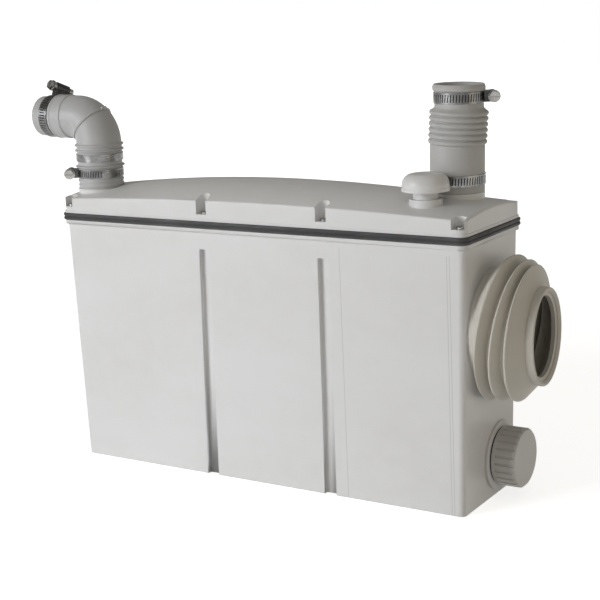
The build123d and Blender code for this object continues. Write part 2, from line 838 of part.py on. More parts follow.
with BuildPart() as inlet_hose:
    add(hose_outside)
    add(hose_inside, mode=Mode.SUBTRACT)
inlet_hose.part.label = "inlet_hose"
export_step(inlet_hose.part, "parts/inlet_hose.step")

# Discharge elbow: a rubber sleeve, a mitred quarter bend and a necked outlet limb
elbow_base_z = lid_z + elbow_base_rise
bend_z = lid_z + elbow_bend_rise
limb_z = bend_z + elbow_bend_radius
limb_x = outlet_x - elbow_bend_radius


def upright_plane(z):
    """A level plane across the elbow's sleeve."""
    return Plane(origin=(outlet_x, outlet_y, z), x_dir=(1, 0, 0))


def limb_plane(reach):
    """An upright plane across the outlet limb, at a reach from the bend."""
    return Plane(
        origin=(limb_x - reach, outlet_y, limb_z), x_dir=(0, 1, 0), z_dir=(-1, 0, 0)
    )


sleeve_stations = [(elbow_base_z, elbow_sleeve_radius)]
for rise in elbow_rib_rises:
    crest = lid_z + rise
    waist = elbow_sleeve_radius if rise < elbow_middle_clip_rise else elbow_waist_radius
    sleeve_stations.append((crest - elbow_rib_foot, waist))
    sleeve_stations.append((crest - elbow_rib_half / 2, elbow_rib_radius))
    sleeve_stations.append((crest + elbow_rib_half / 2, elbow_rib_radius))
    sleeve_stations.append((crest + elbow_rib_foot, waist))
sleeve_stations.append((bend_z, elbow_waist_radius))
limb_stations = [
    (0, elbow_limb_radius),
    (limb_collar_share[0] * elbow_limb_length, elbow_limb_radius),
    (limb_collar_share[1] * elbow_limb_length, elbow_sleeve_radius),
    (limb_collar_share[2] * elbow_limb_length, elbow_sleeve_radius),
    (limb_collar_share[2] * elbow_limb_length + elbow_rib_half, elbow_neck_radius),
    (limb_collar_share[3] * elbow_limb_length, elbow_neck_radius),
    (limb_collar_share[3] * elbow_limb_length + elbow_rib_half, elbow_lip_radius),
    (elbow_limb_length - elbow_rib_half, elbow_lip_radius),
    (elbow_limb_length, elbow_lip_radius - elbow_rib_half),
]
sleeve_skin = through_circles(sleeve_stations, upright_plane)
limb_skin = through_circles(limb_stations, limb_plane)
bend_axis = Axis((limb_x, outlet_y, bend_z), (0, 1, 0))
seam_lean = math.sqrt(1 / 2)
seam_plane = Plane(
    origin=(
        limb_x + elbow_bend_radius * seam_lean,
        outlet_y,
        bend_z + elbow_bend_radius * seam_lean,
    ),
    x_dir=(seam_lean, 0, seam_lean),
    z_dir=(-seam_lean, 0, seam_lean),
)
quarter_turn = 90

with BuildPart() as discharge_elbow:
    add(sleeve_skin)
    add(limb_skin)
    with BuildSketch(upright_plane(bend_z)):
        Circle((elbow_waist_radius + elbow_limb_radius) / 2)
    revolve(axis=bend_axis, revolution_arc=-quarter_turn)
    with BuildSketch(seam_plane):
        Circle(elbow_waist_radius + seam_stand)
        with Locations((elbow_waist_radius - seam_tab_length / 2 + seam_stand, 0)):
            Rectangle(seam_tab_length + seam_stand, seam_tab_width)
    extrude(amount=seam_width / 2, both=True)
    with BuildSketch(upright_plane(elbow_base_z - overrun)):
        Circle(outlet_spigot_radius + elbow_play)
    extrude(amount=outlet_spigot_rise - elbow_base_rise + overrun + clip_gap, mode=Mode.SUBTRACT)
    with BuildSketch(upright_plane(lid_z + outlet_spigot_rise)):
        Circle(elbow_bore_radius)
    extrude(amount=elbow_bend_rise - outlet_spigot_rise, mode=Mode.SUBTRACT)
    with BuildSketch(upright_plane(bend_z)):
        Circle(elbow_bore_radius)
    revolve(axis=bend_axis, revolution_arc=-quarter_turn, mode=Mode.SUBTRACT)
    with BuildSketch(limb_plane(0)):
        Circle(elbow_bore_radius)
    extrude(amount=elbow_limb_length - mouth_bore_length, mode=Mode.SUBTRACT)
    with BuildSketch(limb_plane(0)):
        Circle(mouth_bore_radius)
    extrude(amount=elbow_limb_length + overrun, mode=Mode.SUBTRACT)
discharge_elbow.part.label = "discharge_elbow"
export_step(discharge_elbow.part, "parts/discharge_elbow.step")

# Five worm-drive hose clips, each a band, a housing and its screw. A clip's plane lies
# across its pipe, with the housing along the plane's X and the screw's head along its Y.
inlet_base_centre = (inlet_x, inlet_y, lid_z + inlet_base_clip_rise)
inlet_top_centre = (inlet_x + hose_lean, inlet_y, lid_z + inlet_top_clip_rise)
elbow_base_centre = (outlet_x, outlet_y, lid_z + elbow_base_clip_rise)
elbow_middle_centre = (outlet_x, outlet_y, lid_z + elbow_middle_clip_rise)
neck_middle_share = (limb_collar_share[2] + limb_collar_share[3]) / 2
mouth_clip_reach = neck_middle_share * elbow_limb_length + mouth_clip_shift
elbow_mouth_centre = (limb_x - mouth_clip_reach, outlet_y, limb_z)
up = (0, 0, 1)
down = (0, 0, -1)
rightward = (1, 0, 0)
clips = {
    "inlet_base_clip": (inlet_base_centre, down, (-0.08, 1, 0), hose_radius, wide_band),
    "inlet_top_clip": (inlet_top_centre, down, (0.85, 0.53, 0), hose_neck_radius, wide_band),
    "elbow_base_clip": (elbow_base_centre, up, (-0.85, -0.53, 0), elbow_sleeve_radius, band_width),
    "elbow_middle_clip": (elbow_middle_centre, up, (-0.57, 0.82, 0), elbow_waist_radius, slim_band),
    "elbow_mouth_clip": (elbow_mouth_centre, rightward, (0, 0.41, 0.91), elbow_neck_radius, wide_band),
}
skewed_clips = {"elbow_mouth_clip": (mouth_clip_skew, mouth_screw_extra)}

for clip_name, (centre, pipe_axis, heading, grip, width) in clips.items():
    across = Plane(origin=centre, x_dir=heading, z_dir=pipe_axis)
    band_bore = grip + clip_seat_gap
    band_radius = band_bore + clip_band_thickness
    worm_reach = band_radius + clip_worm_lift
    tunnel_radius = clip_worm_radius + clip_worm_play + clip_tunnel_wall
    skew, screw_extra = skewed_clips.get(clip_name, (0, 0))
    turn = math.radians(skew)
    worm_plane = Plane(
        origin=across.from_local_coords((worm_reach, 0, 0)),
        x_dir=across.x_dir,
        z_dir=across.y_dir * math.cos(turn) + across.z_dir * math.sin(turn),
    )

    with BuildPart() as clip_band:
        with BuildSketch(across):
            Circle(band_radius)
            Circle(band_bore, mode=Mode.SUBTRACT)
        extrude(amount=width / 2, both=True)
    clip_band.part.label = clip_name + "_band"
    export_step(clip_band.part, "parts/" + clip_name + "_band.step")

    with BuildPart() as clip_housing:
        with BuildSketch(worm_plane):
            Circle(tunnel_radius)
            with Locations((-clip_worm_lift / 2, 0)):
                Rectangle(clip_worm_lift + tunnel_radius / 2, width)
        extrude(amount=clip_tunnel_length / 2, both=True)
        with BuildSketch(across):
            Circle(band_radius + running_play)
        extrude(amount=clip_tunnel_length, both=True, mode=Mode.SUBTRACT)
        with BuildSketch(worm_plane):
            Circle(clip_worm_radius + clip_worm_play)
        extrude(amount=clip_tunnel_length, both=True, mode=Mode.SUBTRACT)
    clip_housing.part.label = clip_name + "_housing"
    export_step(clip_housing.part, "parts/" + clip_name + "_housing.step")

    head_side = clip_tunnel_length / 2 + clip_gap + screw_extra
    tail_side = clip_tunnel_length / 2 + clip_tail_length + screw_extra / 2
    with BuildPart() as clip_screw:
        with BuildSketch(worm_plane.offset(-tail_side)):
            Circle(clip_worm_radius)
        extrude(amount=tail_side + head_side)
        with BuildSketch(worm_plane.offset(head_side)):
            Circle(clip_head_flange)
        extrude(amount=clip_flange_thickness)
        with BuildSketch(worm_plane.offset(head_side + clip_flange_thickness)):
            RegularPolygon(clip_head_radius, 6)
        extrude(amount=clip_head_height - clip_flange_thickness)
        with BuildSketch(worm_plane.offset(head_side + clip_head_height)):
            Rectangle(2 * clip_head_radius, clip_slot_width)
        extrude(amount=-clip_slot_width, mode=Mode.SUBTRACT)
    clip_screw.part.label = clip_name + "_screw"
    export_step(clip_screw.part, "parts/" + clip_name + "_screw.step")

# Cable gland through the lid's back edge
gland_wall_y = tank_width / 2 - lid_inset
gland_z = lid_z + gland_rise
gland_plane = Plane(origin=(gland_x, gland_wall_y, gland_z), x_dir=(1, 0, 0), z_dir=(0, 1, 0))

with BuildPart() as cable_gland:
    with BuildSketch(gland_plane.offset(-gland_thread_length)):
        Circle(gland_thread_radius)
    extrude(amount=gland_thread_length)
    with BuildSketch(gland_plane):
        RegularPolygon(gland_nut_radius, 6)
    extrude(amount=gland_nut_length)
    with BuildSketch(gland_plane.offset(gland_nut_length)):
        Circle(gland_thread_radius)
    with BuildSketch(gland_plane.offset(gland_nut_length + gland_dome_length)):
        Circle(gland_thread_radius - gland_dome_taper)
    loft()
    with BuildSketch(gland_plane.offset(-gland_thread_length)):
        Circle(gland_bore)
    extrude(
        amount=gland_thread_length + gland_nut_length + gland_dome_length, mode=Mode.SUBTRACT
    )
cable_gland.part.label = "cable_gland"
export_step(cable_gland.part, "parts/cable_gland.step")

# Deck: a plate across the tank that keeps the motor and switch above the water
deck_top = deck_z + deck_thickness
with BuildPart() as motor_deck:
    with BuildSketch(Plane.XY.offset(deck_z)):
        with Locations(((deck_left + deck_right) / 2, 0)):
            RectangleRounded(deck_right - deck_left, 2 * deck_half_width, body_corner)
        with Locations((motor_x, motor_y)):
            Circle(column_bore, mode=Mode.SUBTRACT)
        with Locations((switch_x, switch_y)):
            Circle(dip_tube_radius + clip_gap, mode=Mode.SUBTRACT)
        with Locations(
            [
                (x, side * deck_screw_y)
                for x in (deck_left + deck_screw_x_inset, deck_right - deck_screw_x_inset)
                for side in (-1, 1)
            ]
        ):
            Circle(screw_shank + screw_clearance, mode=Mode.SUBTRACT)
    extrude(amount=deck_thickness)
motor_deck.part.label = "motor_deck"
export_step(motor_deck.part, "parts/motor_deck.step")

with BuildPart() as deck_screws:
    for x in (deck_left + deck_screw_x_inset, deck_right - deck_screw_x_inset):
        for side in (-1, 1):
            with BuildSketch(Plane.XY.offset(deck_top)):
                with Locations((x, side * deck_screw_y)):
                    Circle(screw_head_radius)
            extrude(amount=screw_head_height)
            with BuildSketch(Plane.XY.offset(deck_z - ledge_height)):
                with Locations((x, side * deck_screw_y)):
                    Circle(screw_shank)
            extrude(amount=ledge_height + deck_thickness)
deck_screws.part.label = "deck_screws"
export_step(deck_screws.part, "parts/deck_screws.step")

# Motor: can, end cap, stator with its windings, and two bearings
motor_centre = (motor_x, motor_y)
can_top = deck_top + motor_can_height
can_inner = motor_radius - motor_wall
lower_bearing_z = deck_top + motor_floor
stator_z = lower_bearing_z + bearing_height + winding_height + motor_wall
upper_bearing_z = can_top - motor_wall
shaft_bore = shaft_radius + running_play

with BuildPart() as motor_can:
    with BuildSketch(Plane.XY.offset(deck_top)):
        with Locations(motor_centre):
            Circle(motor_radius)
    extrude(amount=motor_can_height)
    with BuildSketch(Plane.XY.offset(deck_top + motor_floor)):
        with Locations(motor_centre):
            Circle(can_inner)
    extrude(amount=motor_can_height, mode=Mode.SUBTRACT)
    with BuildSketch(Plane.XY.offset(deck_top)):
        with Locations(motor_centre):
            Circle(bearing_outer + motor_floor)
    extrude(amount=motor_floor + bearing_height)
    with BuildSketch(Plane.XY.offset(lower_bearing_z)):
        with Locations(motor_centre):
            Circle(bearing_outer + running_play)
    extrude(amount=bearing_height, mode=Mode.SUBTRACT)
    with BuildSketch(Plane.XY.offset(deck_top)):
        with Locations(motor_centre):
            Circle(column_bore)
    extrude(amount=motor_floor, mode=Mode.SUBTRACT)
motor_can.part.label = "motor_can"
export_step(motor_can.part, "parts/motor_can.step")

with BuildPart() as motor_end_cap:
    with BuildSketch(Plane.XY.offset(can_top)):
        with Locations(motor_centre):
            Circle(motor_radius)
    extrude(amount=motor_wall)
    with BuildSketch(Plane.XY.offset(can_top + motor_wall)):
        with Locations(motor_centre):
            Circle(end_cap_radius)
    extrude(amount=end_cap_rise - motor_wall)
    fillet(motor_end_cap.faces().sort_by(Axis.Z)[-1].edges(), motor_wall)
    with BuildSketch(Plane.XY.offset(upper_bearing_z)):
        with Locations(motor_centre):
            Circle(bearing_outer + motor_floor)
    extrude(amount=motor_wall)
    with BuildSketch(Plane.XY.offset(upper_bearing_z)):
        with Locations(motor_centre):
            Circle(bearing_outer + running_play)
    extrude(amount=bearing_height, mode=Mode.SUBTRACT)
motor_end_cap.part.label = "motor_end_cap"
export_step(motor_end_cap.part, "parts/motor_end_cap.step")

for bearing_name, bearing_z in (
    ("lower_bearing", lower_bearing_z),
    ("upper_bearing", upper_bearing_z),
):
    with BuildPart() as bearing:
        with BuildSketch(Plane.XY.offset(bearing_z)):
            with Locations(motor_centre):
                Circle(bearing_outer)
                Circle(shaft_bore, mode=Mode.SUBTRACT)
        extrude(amount=bearing_height)
    bearing.part.label = bearing_name
    export_step(bearing.part, "parts/" + bearing_name + ".step")

with BuildPart() as stator_core:
    with BuildSketch(Plane.XY.offset(stator_z)):
        with Locations(motor_centre):
            Circle(can_inner - running_play)
            Circle(stator_bore, mode=Mode.SUBTRACT)
            with PolarLocations(stator_bore + (slot_depth - motor_wall) / 2, slot_count):
                Rectangle(slot_depth, slot_breadth, mode=Mode.SUBTRACT)
    extrude(amount=stator_height)
stator_core.part.label = "stator_core"
export_step(stator_core.part, "parts/stator_core.step")

with BuildPart() as stator_windings:
    for ring_z in (stator_z - winding_height, stator_z + stator_height):
        with BuildSketch(Plane.XY.offset(ring_z)):
            with Locations(motor_centre):
                Circle(winding_outer)
                Circle(winding_inner, mode=Mode.SUBTRACT)
        extrude(amount=winding_height)
    fillet(stator_windings.edges().group_by(Axis.Z)[-1], motor_wall)
stator_windings.part.label = "stator_windings"
export_step(stator_windings.part, "parts/stator_windings.step")

# Rotor: core and shaft in the motor, impeller and cutter at the shaft's foot
volute_top = tank_wall + volute_height
plate_top = volute_top + suction_plate
impeller_z = tank_wall + volute_floor + impeller_lift
cutter_z = plate_top + cutter_lift
shaft_foot = impeller_z
shaft_top = upper_bearing_z + bearing_height - running_play

with BuildPart() as motor_shaft:
    with BuildSketch(Plane.XY.offset(shaft_foot)):
        with Locations(motor_centre):
            Circle(shaft_radius)
    extrude(amount=shaft_top - shaft_foot)
motor_shaft.part.label = "motor_shaft"
export_step(motor_shaft.part, "parts/motor_shaft.step")

with BuildPart() as rotor_core:
    with BuildSketch(Plane.XY.offset(stator_z)):
        with Locations(motor_centre):
            Circle(stator_bore - rotor_gap)
            Circle(shaft_bore, mode=Mode.SUBTRACT)
    extrude(amount=stator_height)
rotor_core.part.label = "rotor_core"
export_step(rotor_core.part, "parts/rotor_core.step")

with BuildSketch() as blade:
    with BuildLine():
        ThreePointArc(
            (impeller_hub / 2, 0),
            (impeller_radius * blade_mid_share[0], impeller_radius * blade_mid_share[1]),
            (impeller_radius * blade_tip_share[0], impeller_radius * blade_tip_share[1]),
        )
    trace(line_width=blade_thickness)

with BuildPart() as impeller:
    with BuildSketch(Plane.XY.offset(impeller_z)):
        with Locations(motor_centre):
            Circle(impeller_radius)
    extrude(amount=impeller_disc)
    with BuildSketch(Plane.XY.offset(impeller_z + impeller_disc)):
        with Locations(motor_centre):
            Circle(impeller_hub)
            with PolarLocations(0, blade_count):
                add(blade.sketch)
    extrude(amount=impeller_blade_height)
    with BuildSketch(Plane.XY.offset(impeller_z)):
        with Locations(motor_centre):
            Circle(shaft_bore)
    extrude(amount=impeller_disc + impeller_blade_height, mode=Mode.SUBTRACT)
impeller.part.label = "impeller"
export_step(impeller.part, "parts/impeller.step")

with BuildPart() as cutter_blade:
    with BuildSketch(Plane.XY.offset(cutter_z)):
        with Locations(motor_centre):
            Circle(cutter_hub)
            SlotOverall(2 * cutter_radius, cutter_width)
    extrude(amount=cutter_thickness)
    chamfer(
        cutter_blade.edges().filter_by(GeomType.LINE).group_by(Axis.Z)[-1], cutter_thickness / 2
    )
    with BuildSketch(Plane.XY.offset(cutter_z + cutter_thickness)):
        with Locations(motor_centre):
            Circle(cutter_boss_radius)
    extrude(amount=cutter_boss_height)
    with BuildSketch(Plane.XY.offset(cutter_z)):
        with Locations(motor_centre):
            Circle(shaft_bore)
    extrude(amount=cutter_thickness + cutter_boss_height, mode=Mode.SUBTRACT)
cutter_blade.part.label = "cutter_blade"
export_step(cutter_blade.part, "parts/cutter_blade.step")

# Shaft column below the deck, with its seal just above the cutter
column_foot = cutter_z + column_lift
with BuildPart() as shaft_column:
    with BuildSketch(Plane.XY.offset(column_foot)):
        with Locations(motor_centre):
            Circle(column_radius)
    extrude(amount=deck_z - column_foot)
    with BuildSketch(Plane.XY.offset(deck_z - tank_wall)):
        with Locations(motor_centre):
            Circle(column_flange)
    extrude(amount=tank_wall)
    with BuildSketch(Plane.XY.offset(column_foot)):
        with Locations(motor_centre):
            Circle(column_bore)
    extrude(amount=deck_z - column_foot, mode=Mode.SUBTRACT)
shaft_column.part.label = "shaft_column"
export_step(shaft_column.part, "parts/shaft_column.step")

with BuildPart() as shaft_seal:
    with BuildSketch(Plane.XY.offset(column_foot)):
        with Locations(motor_centre):
            Circle(column_bore - running_play)
            Circle(shaft_bore, mode=Mode.SUBTRACT)
    extrude(amount=seal_height)
shaft_seal.part.label = "shaft_seal"
export_step(shaft_seal.part, "parts/shaft_seal.step")

# Pump: volute on the tank's floor, its suction plate, and the slotted grinder basket
duct_end_x = motor_x - volute_outlet_reach
stub_end_x = duct_end_x - volute_stub_length
duct_plane = Plane.YZ.offset(stub_end_x)
with BuildPart() as pump_volute:
    with BuildSketch(Plane.XY.offset(tank_wall)):
        with Locations(motor_centre):
            Circle(volute_radius)
        with Locations((motor_x - volute_outlet_reach / 2, outlet_y)):
            Rectangle(volute_outlet_reach, 2 * pipe_radius)
    extrude(amount=volute_height)
    with BuildSketch(duct_plane):
        with Locations((outlet_y, pipe_z)):
            Circle(pipe_radius)
    extrude(amount=duct_end_x - stub_end_x)
    with BuildSketch(Plane.XY.offset(tank_wall + volute_floor)):
        with Locations(motor_centre):
            Circle(volute_radius - volute_wall)
    extrude(amount=volute_height, mode=Mode.SUBTRACT)
    with BuildSketch(duct_plane):
        with Locations((outlet_y, pipe_z)):
            Circle(pipe_bore)
    extrude(amount=motor_x - stub_end_x, mode=Mode.SUBTRACT)
pump_volute.part.label = "pump_volute"
export_step(pump_volute.part, "parts/pump_volute.step")

basket_end = wc_wall_x - tank_wall - wc_spigot_wall - clip_gap
basket_length = basket_end - motor_x
with BuildPart() as suction_cover:
    with BuildSketch(Plane.XY.offset(volute_top)):
        with Locations((motor_x + basket_length / 2, motor_y)):
            Rectangle(basket_length, 2 * volute_radius)
        with Locations(motor_centre):
            Circle(volute_radius)
            Circle(suction_eye, mode=Mode.SUBTRACT)
    extrude(amount=suction_plate)
    with BuildSketch(Plane.XY.offset(tank_wall)):
        with Locations((basket_end - cover_leg_inset, -volute_radius / 2)):
            Rectangle(suction_plate, volute_radius)
    extrude(amount=volute_height)
suction_cover.part.label = "suction_cover"
export_step(suction_cover.part, "parts/suction_cover.step")

basket_z = plate_top
basket_height = deck_z - ledge_height - basket_gap - basket_z
with BuildPart() as grinder_basket:
    with BuildSketch(Plane.XY.offset(basket_z)):
        with Locations(motor_centre):
            Circle(basket_radius)
        with Locations((motor_x + basket_length / 2, motor_y)):
            Rectangle(basket_length, 2 * basket_radius)
        with Locations(motor_centre):
            Circle(basket_radius - basket_wall, mode=Mode.SUBTRACT)
        with Locations((motor_x + (basket_length + overrun) / 2, motor_y)):
            Rectangle(
                basket_length + overrun, 2 * (basket_radius - basket_wall), mode=Mode.SUBTRACT
            )
    extrude(amount=basket_height)
    row_pitch = basket_height / basket_rows
    column_pitch = basket_length / basket_columns
    with BuildSketch(Plane.XZ.offset(-motor_y - basket_radius - overrun)):
        with Locations((motor_x + basket_length / 2, basket_z + basket_height / 2)):
            with GridLocations(column_pitch, row_pitch, basket_columns, basket_rows):
                Rectangle(basket_slot_width, basket_slot_height)
    extrude(amount=2 * (basket_radius + overrun), mode=Mode.SUBTRACT)
    for fan in range(basket_fan):
        turn = math.radians(180 + (fan - (basket_fan - 1) / 2) * basket_fan_pitch)
        outward = Plane(
            origin=(motor_x, motor_y, basket_z + basket_height / 2),
            x_dir=(-math.sin(turn), math.cos(turn), 0),
            z_dir=(math.cos(turn), math.sin(turn), 0),
        )
        with BuildSketch(outward):
            with GridLocations(0, row_pitch, 1, basket_rows):
                Rectangle(basket_slot_width, basket_slot_height)
        extrude(amount=basket_radius + overrun, mode=Mode.SUBTRACT)
grinder_basket.part.label = "grinder_basket"
export_step(grinder_basket.part, "parts/grinder_basket.step")

# Discharge pipe from the volute to the lid, with a rubber sleeve at each end
pipe_top = stub_z - clip_gap
pipe_start_x = stub_end_x - clip_gap
lower_sleeve_half = volute_stub_length - sleeve_end_gap
upper_sleeve_half = outlet_floor_z - lid_wall - stub_z - sleeve_end_gap
with BuildPart() as discharge_pipe:
    with BuildLine() as pipe_path:
        FilletPolyline(
            (pipe_start_x, outlet_y, pipe_z),
            (outlet_x, outlet_y, pipe_z),
            (outlet_x, outlet_y, pipe_top),
            radius=pipe_bend,
        )
    with BuildSketch(Plane(origin=pipe_path.wire() @ 0, z_dir=pipe_path.wire() % 0)):
        Circle(pipe_radius)
        Circle(pipe_bore, mode=Mode.SUBTRACT)
    sweep()
discharge_pipe.part.label = "discharge_pipe"
export_step(discharge_pipe.part, "parts/discharge_pipe.step")

with BuildPart() as pipe_sleeves:
    with BuildSketch(Plane.YZ.offset(stub_end_x - lower_sleeve_half)):
        with Locations((outlet_y, pipe_z)):
            Circle(pipe_radius + sleeve_play + sleeve_wall)
            Circle(pipe_radius + sleeve_play, mode=Mode.SUBTRACT)
    extrude(amount=2 * lower_sleeve_half)
    with BuildSketch(Plane.XY.offset(stub_z - upper_sleeve_half)):
        with Locations((outlet_x, outlet_y)):
            Circle(pipe_radius + sleeve_play + sleeve_wall)
            Circle(pipe_radius + sleeve_play, mode=Mode.SUBTRACT)
    extrude(amount=2 * upper_sleeve_half)
pipe_sleeves.part.label = "pipe_sleeves"
export_step(pipe_sleeves.part, "parts/pipe_sleeves.step")

# Non-return valve: a seat in the discharge spigot, a flap and its hinge pin
valve_face_z = valve_seat_z + valve_seat_height
valve_pin_z = valve_face_z + valve_rest_gap + valve_barrel_radius
valve_pin_y = outlet_y - valve_hinge_reach
valve_ear_x = valve_barrel_half + clip_gap + valve_ear_thickness / 2
with BuildPart() as valve_seat:
    with BuildSketch(Plane.XY.offset(outlet_floor_z)):
        with Locations((outlet_x, outlet_y)):
            Circle(outlet_spigot_bore - pilot_clearance)
            Circle(valve_seat_bore, mode=Mode.SUBTRACT)
    extrude(amount=valve_face_z - outlet_floor_z)
    for side in (-1, 1):
        ear_start = outlet_x + side * valve_ear_x - valve_ear_thickness / 2
        with BuildSketch(Plane.YZ.offset(ear_start)):
            with Locations((valve_pin_y, valve_pin_z)):
                Circle(valve_ear_radius)
            with Locations((valve_pin_y, (valve_face_z + valve_pin_z) / 2)):
                Rectangle(2 * valve_ear_radius, valve_pin_z - valve_face_z)
        extrude(amount=valve_ear_thickness)
    with BuildSketch(Plane.YZ.offset(outlet_x - 2 * valve_pin_half)):
        with Locations((valve_pin_y, valve_pin_z)):
            Circle(valve_pin_radius)
    extrude(amount=4 * valve_pin_half, mode=Mode.SUBTRACT)
valve_seat.part.label = "valve_seat"
export_step(valve_seat.part, "parts/valve_seat.step")

with BuildPart() as valve_pin:
    with BuildSketch(Plane.YZ.offset(outlet_x - valve_pin_half)):
        with Locations((valve_pin_y, valve_pin_z)):
            Circle(valve_pin_radius)
    extrude(amount=2 * valve_pin_half)
valve_pin.part.label = "valve_pin"
export_step(valve_pin.part, "parts/valve_pin.step")

with BuildPart() as valve_flap:
    with BuildSketch(Plane.XY.offset(valve_face_z + valve_rest_gap)):
        with Locations((outlet_x, outlet_y)):
            Circle(valve_disc_radius)
        with Locations((outlet_x, (outlet_y + valve_pin_y) / 2)):
            Rectangle(2 * valve_barrel_half, valve_hinge_reach)
    extrude(amount=valve_disc_thickness)
    with BuildSketch(Plane.YZ.offset(outlet_x - valve_barrel_half)):
        with Locations((valve_pin_y, valve_pin_z)):
            Circle(valve_barrel_radius)
    extrude(amount=2 * valve_barrel_half)
    with BuildSketch(Plane.YZ.offset(outlet_x - valve_pin_half)):
        with Locations((valve_pin_y, valve_pin_z)):
            Circle(valve_pin_radius + valve_pin_play)
    extrude(amount=2 * valve_pin_half, mode=Mode.SUBTRACT)
valve_flap.part.label = "valve_flap"
export_step(valve_flap.part, "parts/valve_flap.step")

# Pressure switch: dip tube and chamber, diaphragm, cover, plunger and microswitch
switch_centre = (switch_x, switch_y)
chamber_z = deck_top
diaphragm_z = chamber_z + chamber_height
cover_z = diaphragm_z + diaphragm_thickness
cover_top = cover_z + cover_height
with BuildPart() as pressure_chamber:
    with BuildSketch(Plane.XY.offset(dip_tube_clearance + tank_wall)):
        with Locations(switch_centre):
            Circle(dip_tube_radius)
    extrude(amount=chamber_z - dip_tube_clearance - tank_wall)
    with BuildSketch(Plane.XY.offset(chamber_z)):
        with Locations(switch_centre):
            Circle(chamber_radius)
    extrude(amount=chamber_height)
    with BuildSketch(Plane.XY.offset(chamber_z + dip_tube_wall)):
        with Locations(switch_centre):
            Circle(chamber_radius - dip_tube_wall)
    extrude(amount=chamber_height, mode=Mode.SUBTRACT)
    with BuildSketch(Plane.XY.offset(dip_tube_clearance + tank_wall)):
        with Locations(switch_centre):
            Circle(dip_tube_radius - dip_tube_wall)
    extrude(amount=chamber_z, mode=Mode.SUBTRACT)
pressure_chamber.part.label = "pressure_chamber"
export_step(pressure_chamber.part, "parts/pressure_chamber.step")

with BuildPart() as pressure_diaphragm:
    with BuildSketch(Plane.XY.offset(diaphragm_z)):
        with Locations(switch_centre):
            Circle(chamber_radius)
    extrude(amount=diaphragm_thickness)
pressure_diaphragm.part.label = "pressure_diaphragm"
export_step(pressure_diaphragm.part, "parts/pressure_diaphragm.step")

post_reach = (microswitch_length + post_thickness) / 2
with BuildPart() as pressure_cover:
    with BuildSketch(Plane.XY.offset(cover_z)):
        with Locations(switch_centre):
            Circle(chamber_radius)
    extrude(amount=cover_height)
    with BuildSketch(Plane.XY.offset(cover_z)):
        with Locations(switch_centre):
            Circle(chamber_radius - dip_tube_wall)
    extrude(amount=cover_height - dip_tube_wall, mode=Mode.SUBTRACT)
    with BuildSketch(Plane.XY.offset(cover_top)):
        with Locations([(switch_x + side * post_reach, switch_y) for side in (-1, 1)]):
            Rectangle(post_thickness, microswitch_width)
    extrude(amount=post_rise)
    with BuildSketch(Plane.XY.offset(cover_z)):
        with Locations(switch_centre):
            Circle(plunger_radius + plunger_play)
    extrude(amount=cover_height, mode=Mode.SUBTRACT)
pressure_cover.part.label = "pressure_cover"
export_step(pressure_cover.part, "parts/pressure_cover.step")

with BuildPart() as switch_plunger:
    with BuildSketch(Plane.XY.offset(cover_z)):
        with Locations(switch_centre):
            Circle(plunger_disc_radius)
    extrude(amount=plunger_disc_thickness)
    with BuildSketch(Plane.XY.offset(cover_z)):
        with Locations(switch_centre):
            Circle(plunger_radius)
    extrude(amount=plunger_length)
switch_plunger.part.label = "switch_plunger"
export_step(switch_plunger.part, "parts/switch_plunger.step")

microswitch_z = cover_z + plunger_length + plunger_travel + clip_gap
with BuildPart() as microswitch:
    with BuildSketch(Plane.XY.offset(microswitch_z)):
        with Locations(switch_centre):
            Rectangle(microswitch_length, microswitch_width)
    extrude(amount=microswitch_height)
microswitch.part.label = "microswitch"
export_step(microswitch.part, "parts/microswitch.step")

# Run capacitor and terminal block on the deck
with BuildPart() as run_capacitor:
    with BuildSketch(Plane.XY.offset(deck_top)):
        with Locations((capacitor_x, capacitor_y)):
            Circle(capacitor_radius)
    extrude(amount=capacitor_height)
    fillet(run_capacitor.faces().sort_by(Axis.Z)[-1].edges(), capacitor_round)
    with BuildSketch(Plane.XY.offset(deck_top + capacitor_height)):
        with Locations((capacitor_x, capacitor_y)):
            with GridLocations(capacitor_radius, 0, 2, 1):
                Rectangle(capacitor_tab_thickness, capacitor_tab)
    extrude(amount=capacitor_tab)
run_capacitor.part.label = "run_capacitor"
export_step(run_capacitor.part, "parts/run_capacitor.step")

terminal_y = deck_half_width - terminal_width / 2
terminal_pitch = terminal_length / terminal_ways
with BuildPart() as terminal_block:
    with BuildSketch(Plane.XY.offset(deck_top)):
        with Locations((terminal_x, terminal_y)):
            Rectangle(terminal_length, terminal_width)
    extrude(amount=terminal_height)
    with BuildSketch(Plane.XY.offset(deck_top + terminal_height)):
        with Locations((terminal_x, terminal_y)):
            with GridLocations(terminal_pitch, 0, terminal_ways, 1):
                Circle(terminal_screw_radius)
    extrude(amount=-terminal_screw_depth, mode=Mode.SUBTRACT)
terminal_block.part.label = "terminal_block"
export_step(terminal_block.part, "parts/terminal_block.step")
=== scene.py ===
# %% [markdown]
# # A macerator toilet pump
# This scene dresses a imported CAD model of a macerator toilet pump. The CAD gives every
# rigid piece its place and size. Blender adds what a mould, a rubber press and a strip
# mill leave behind: soft edges, folds, slots, seams and surface grain.
#
# Lengths are in metres. The helper `mm` keeps the numbers as a workshop would say them.

import math
from collections import namedtuple

import bmesh
import bpy
from mathutils import Matrix, Vector


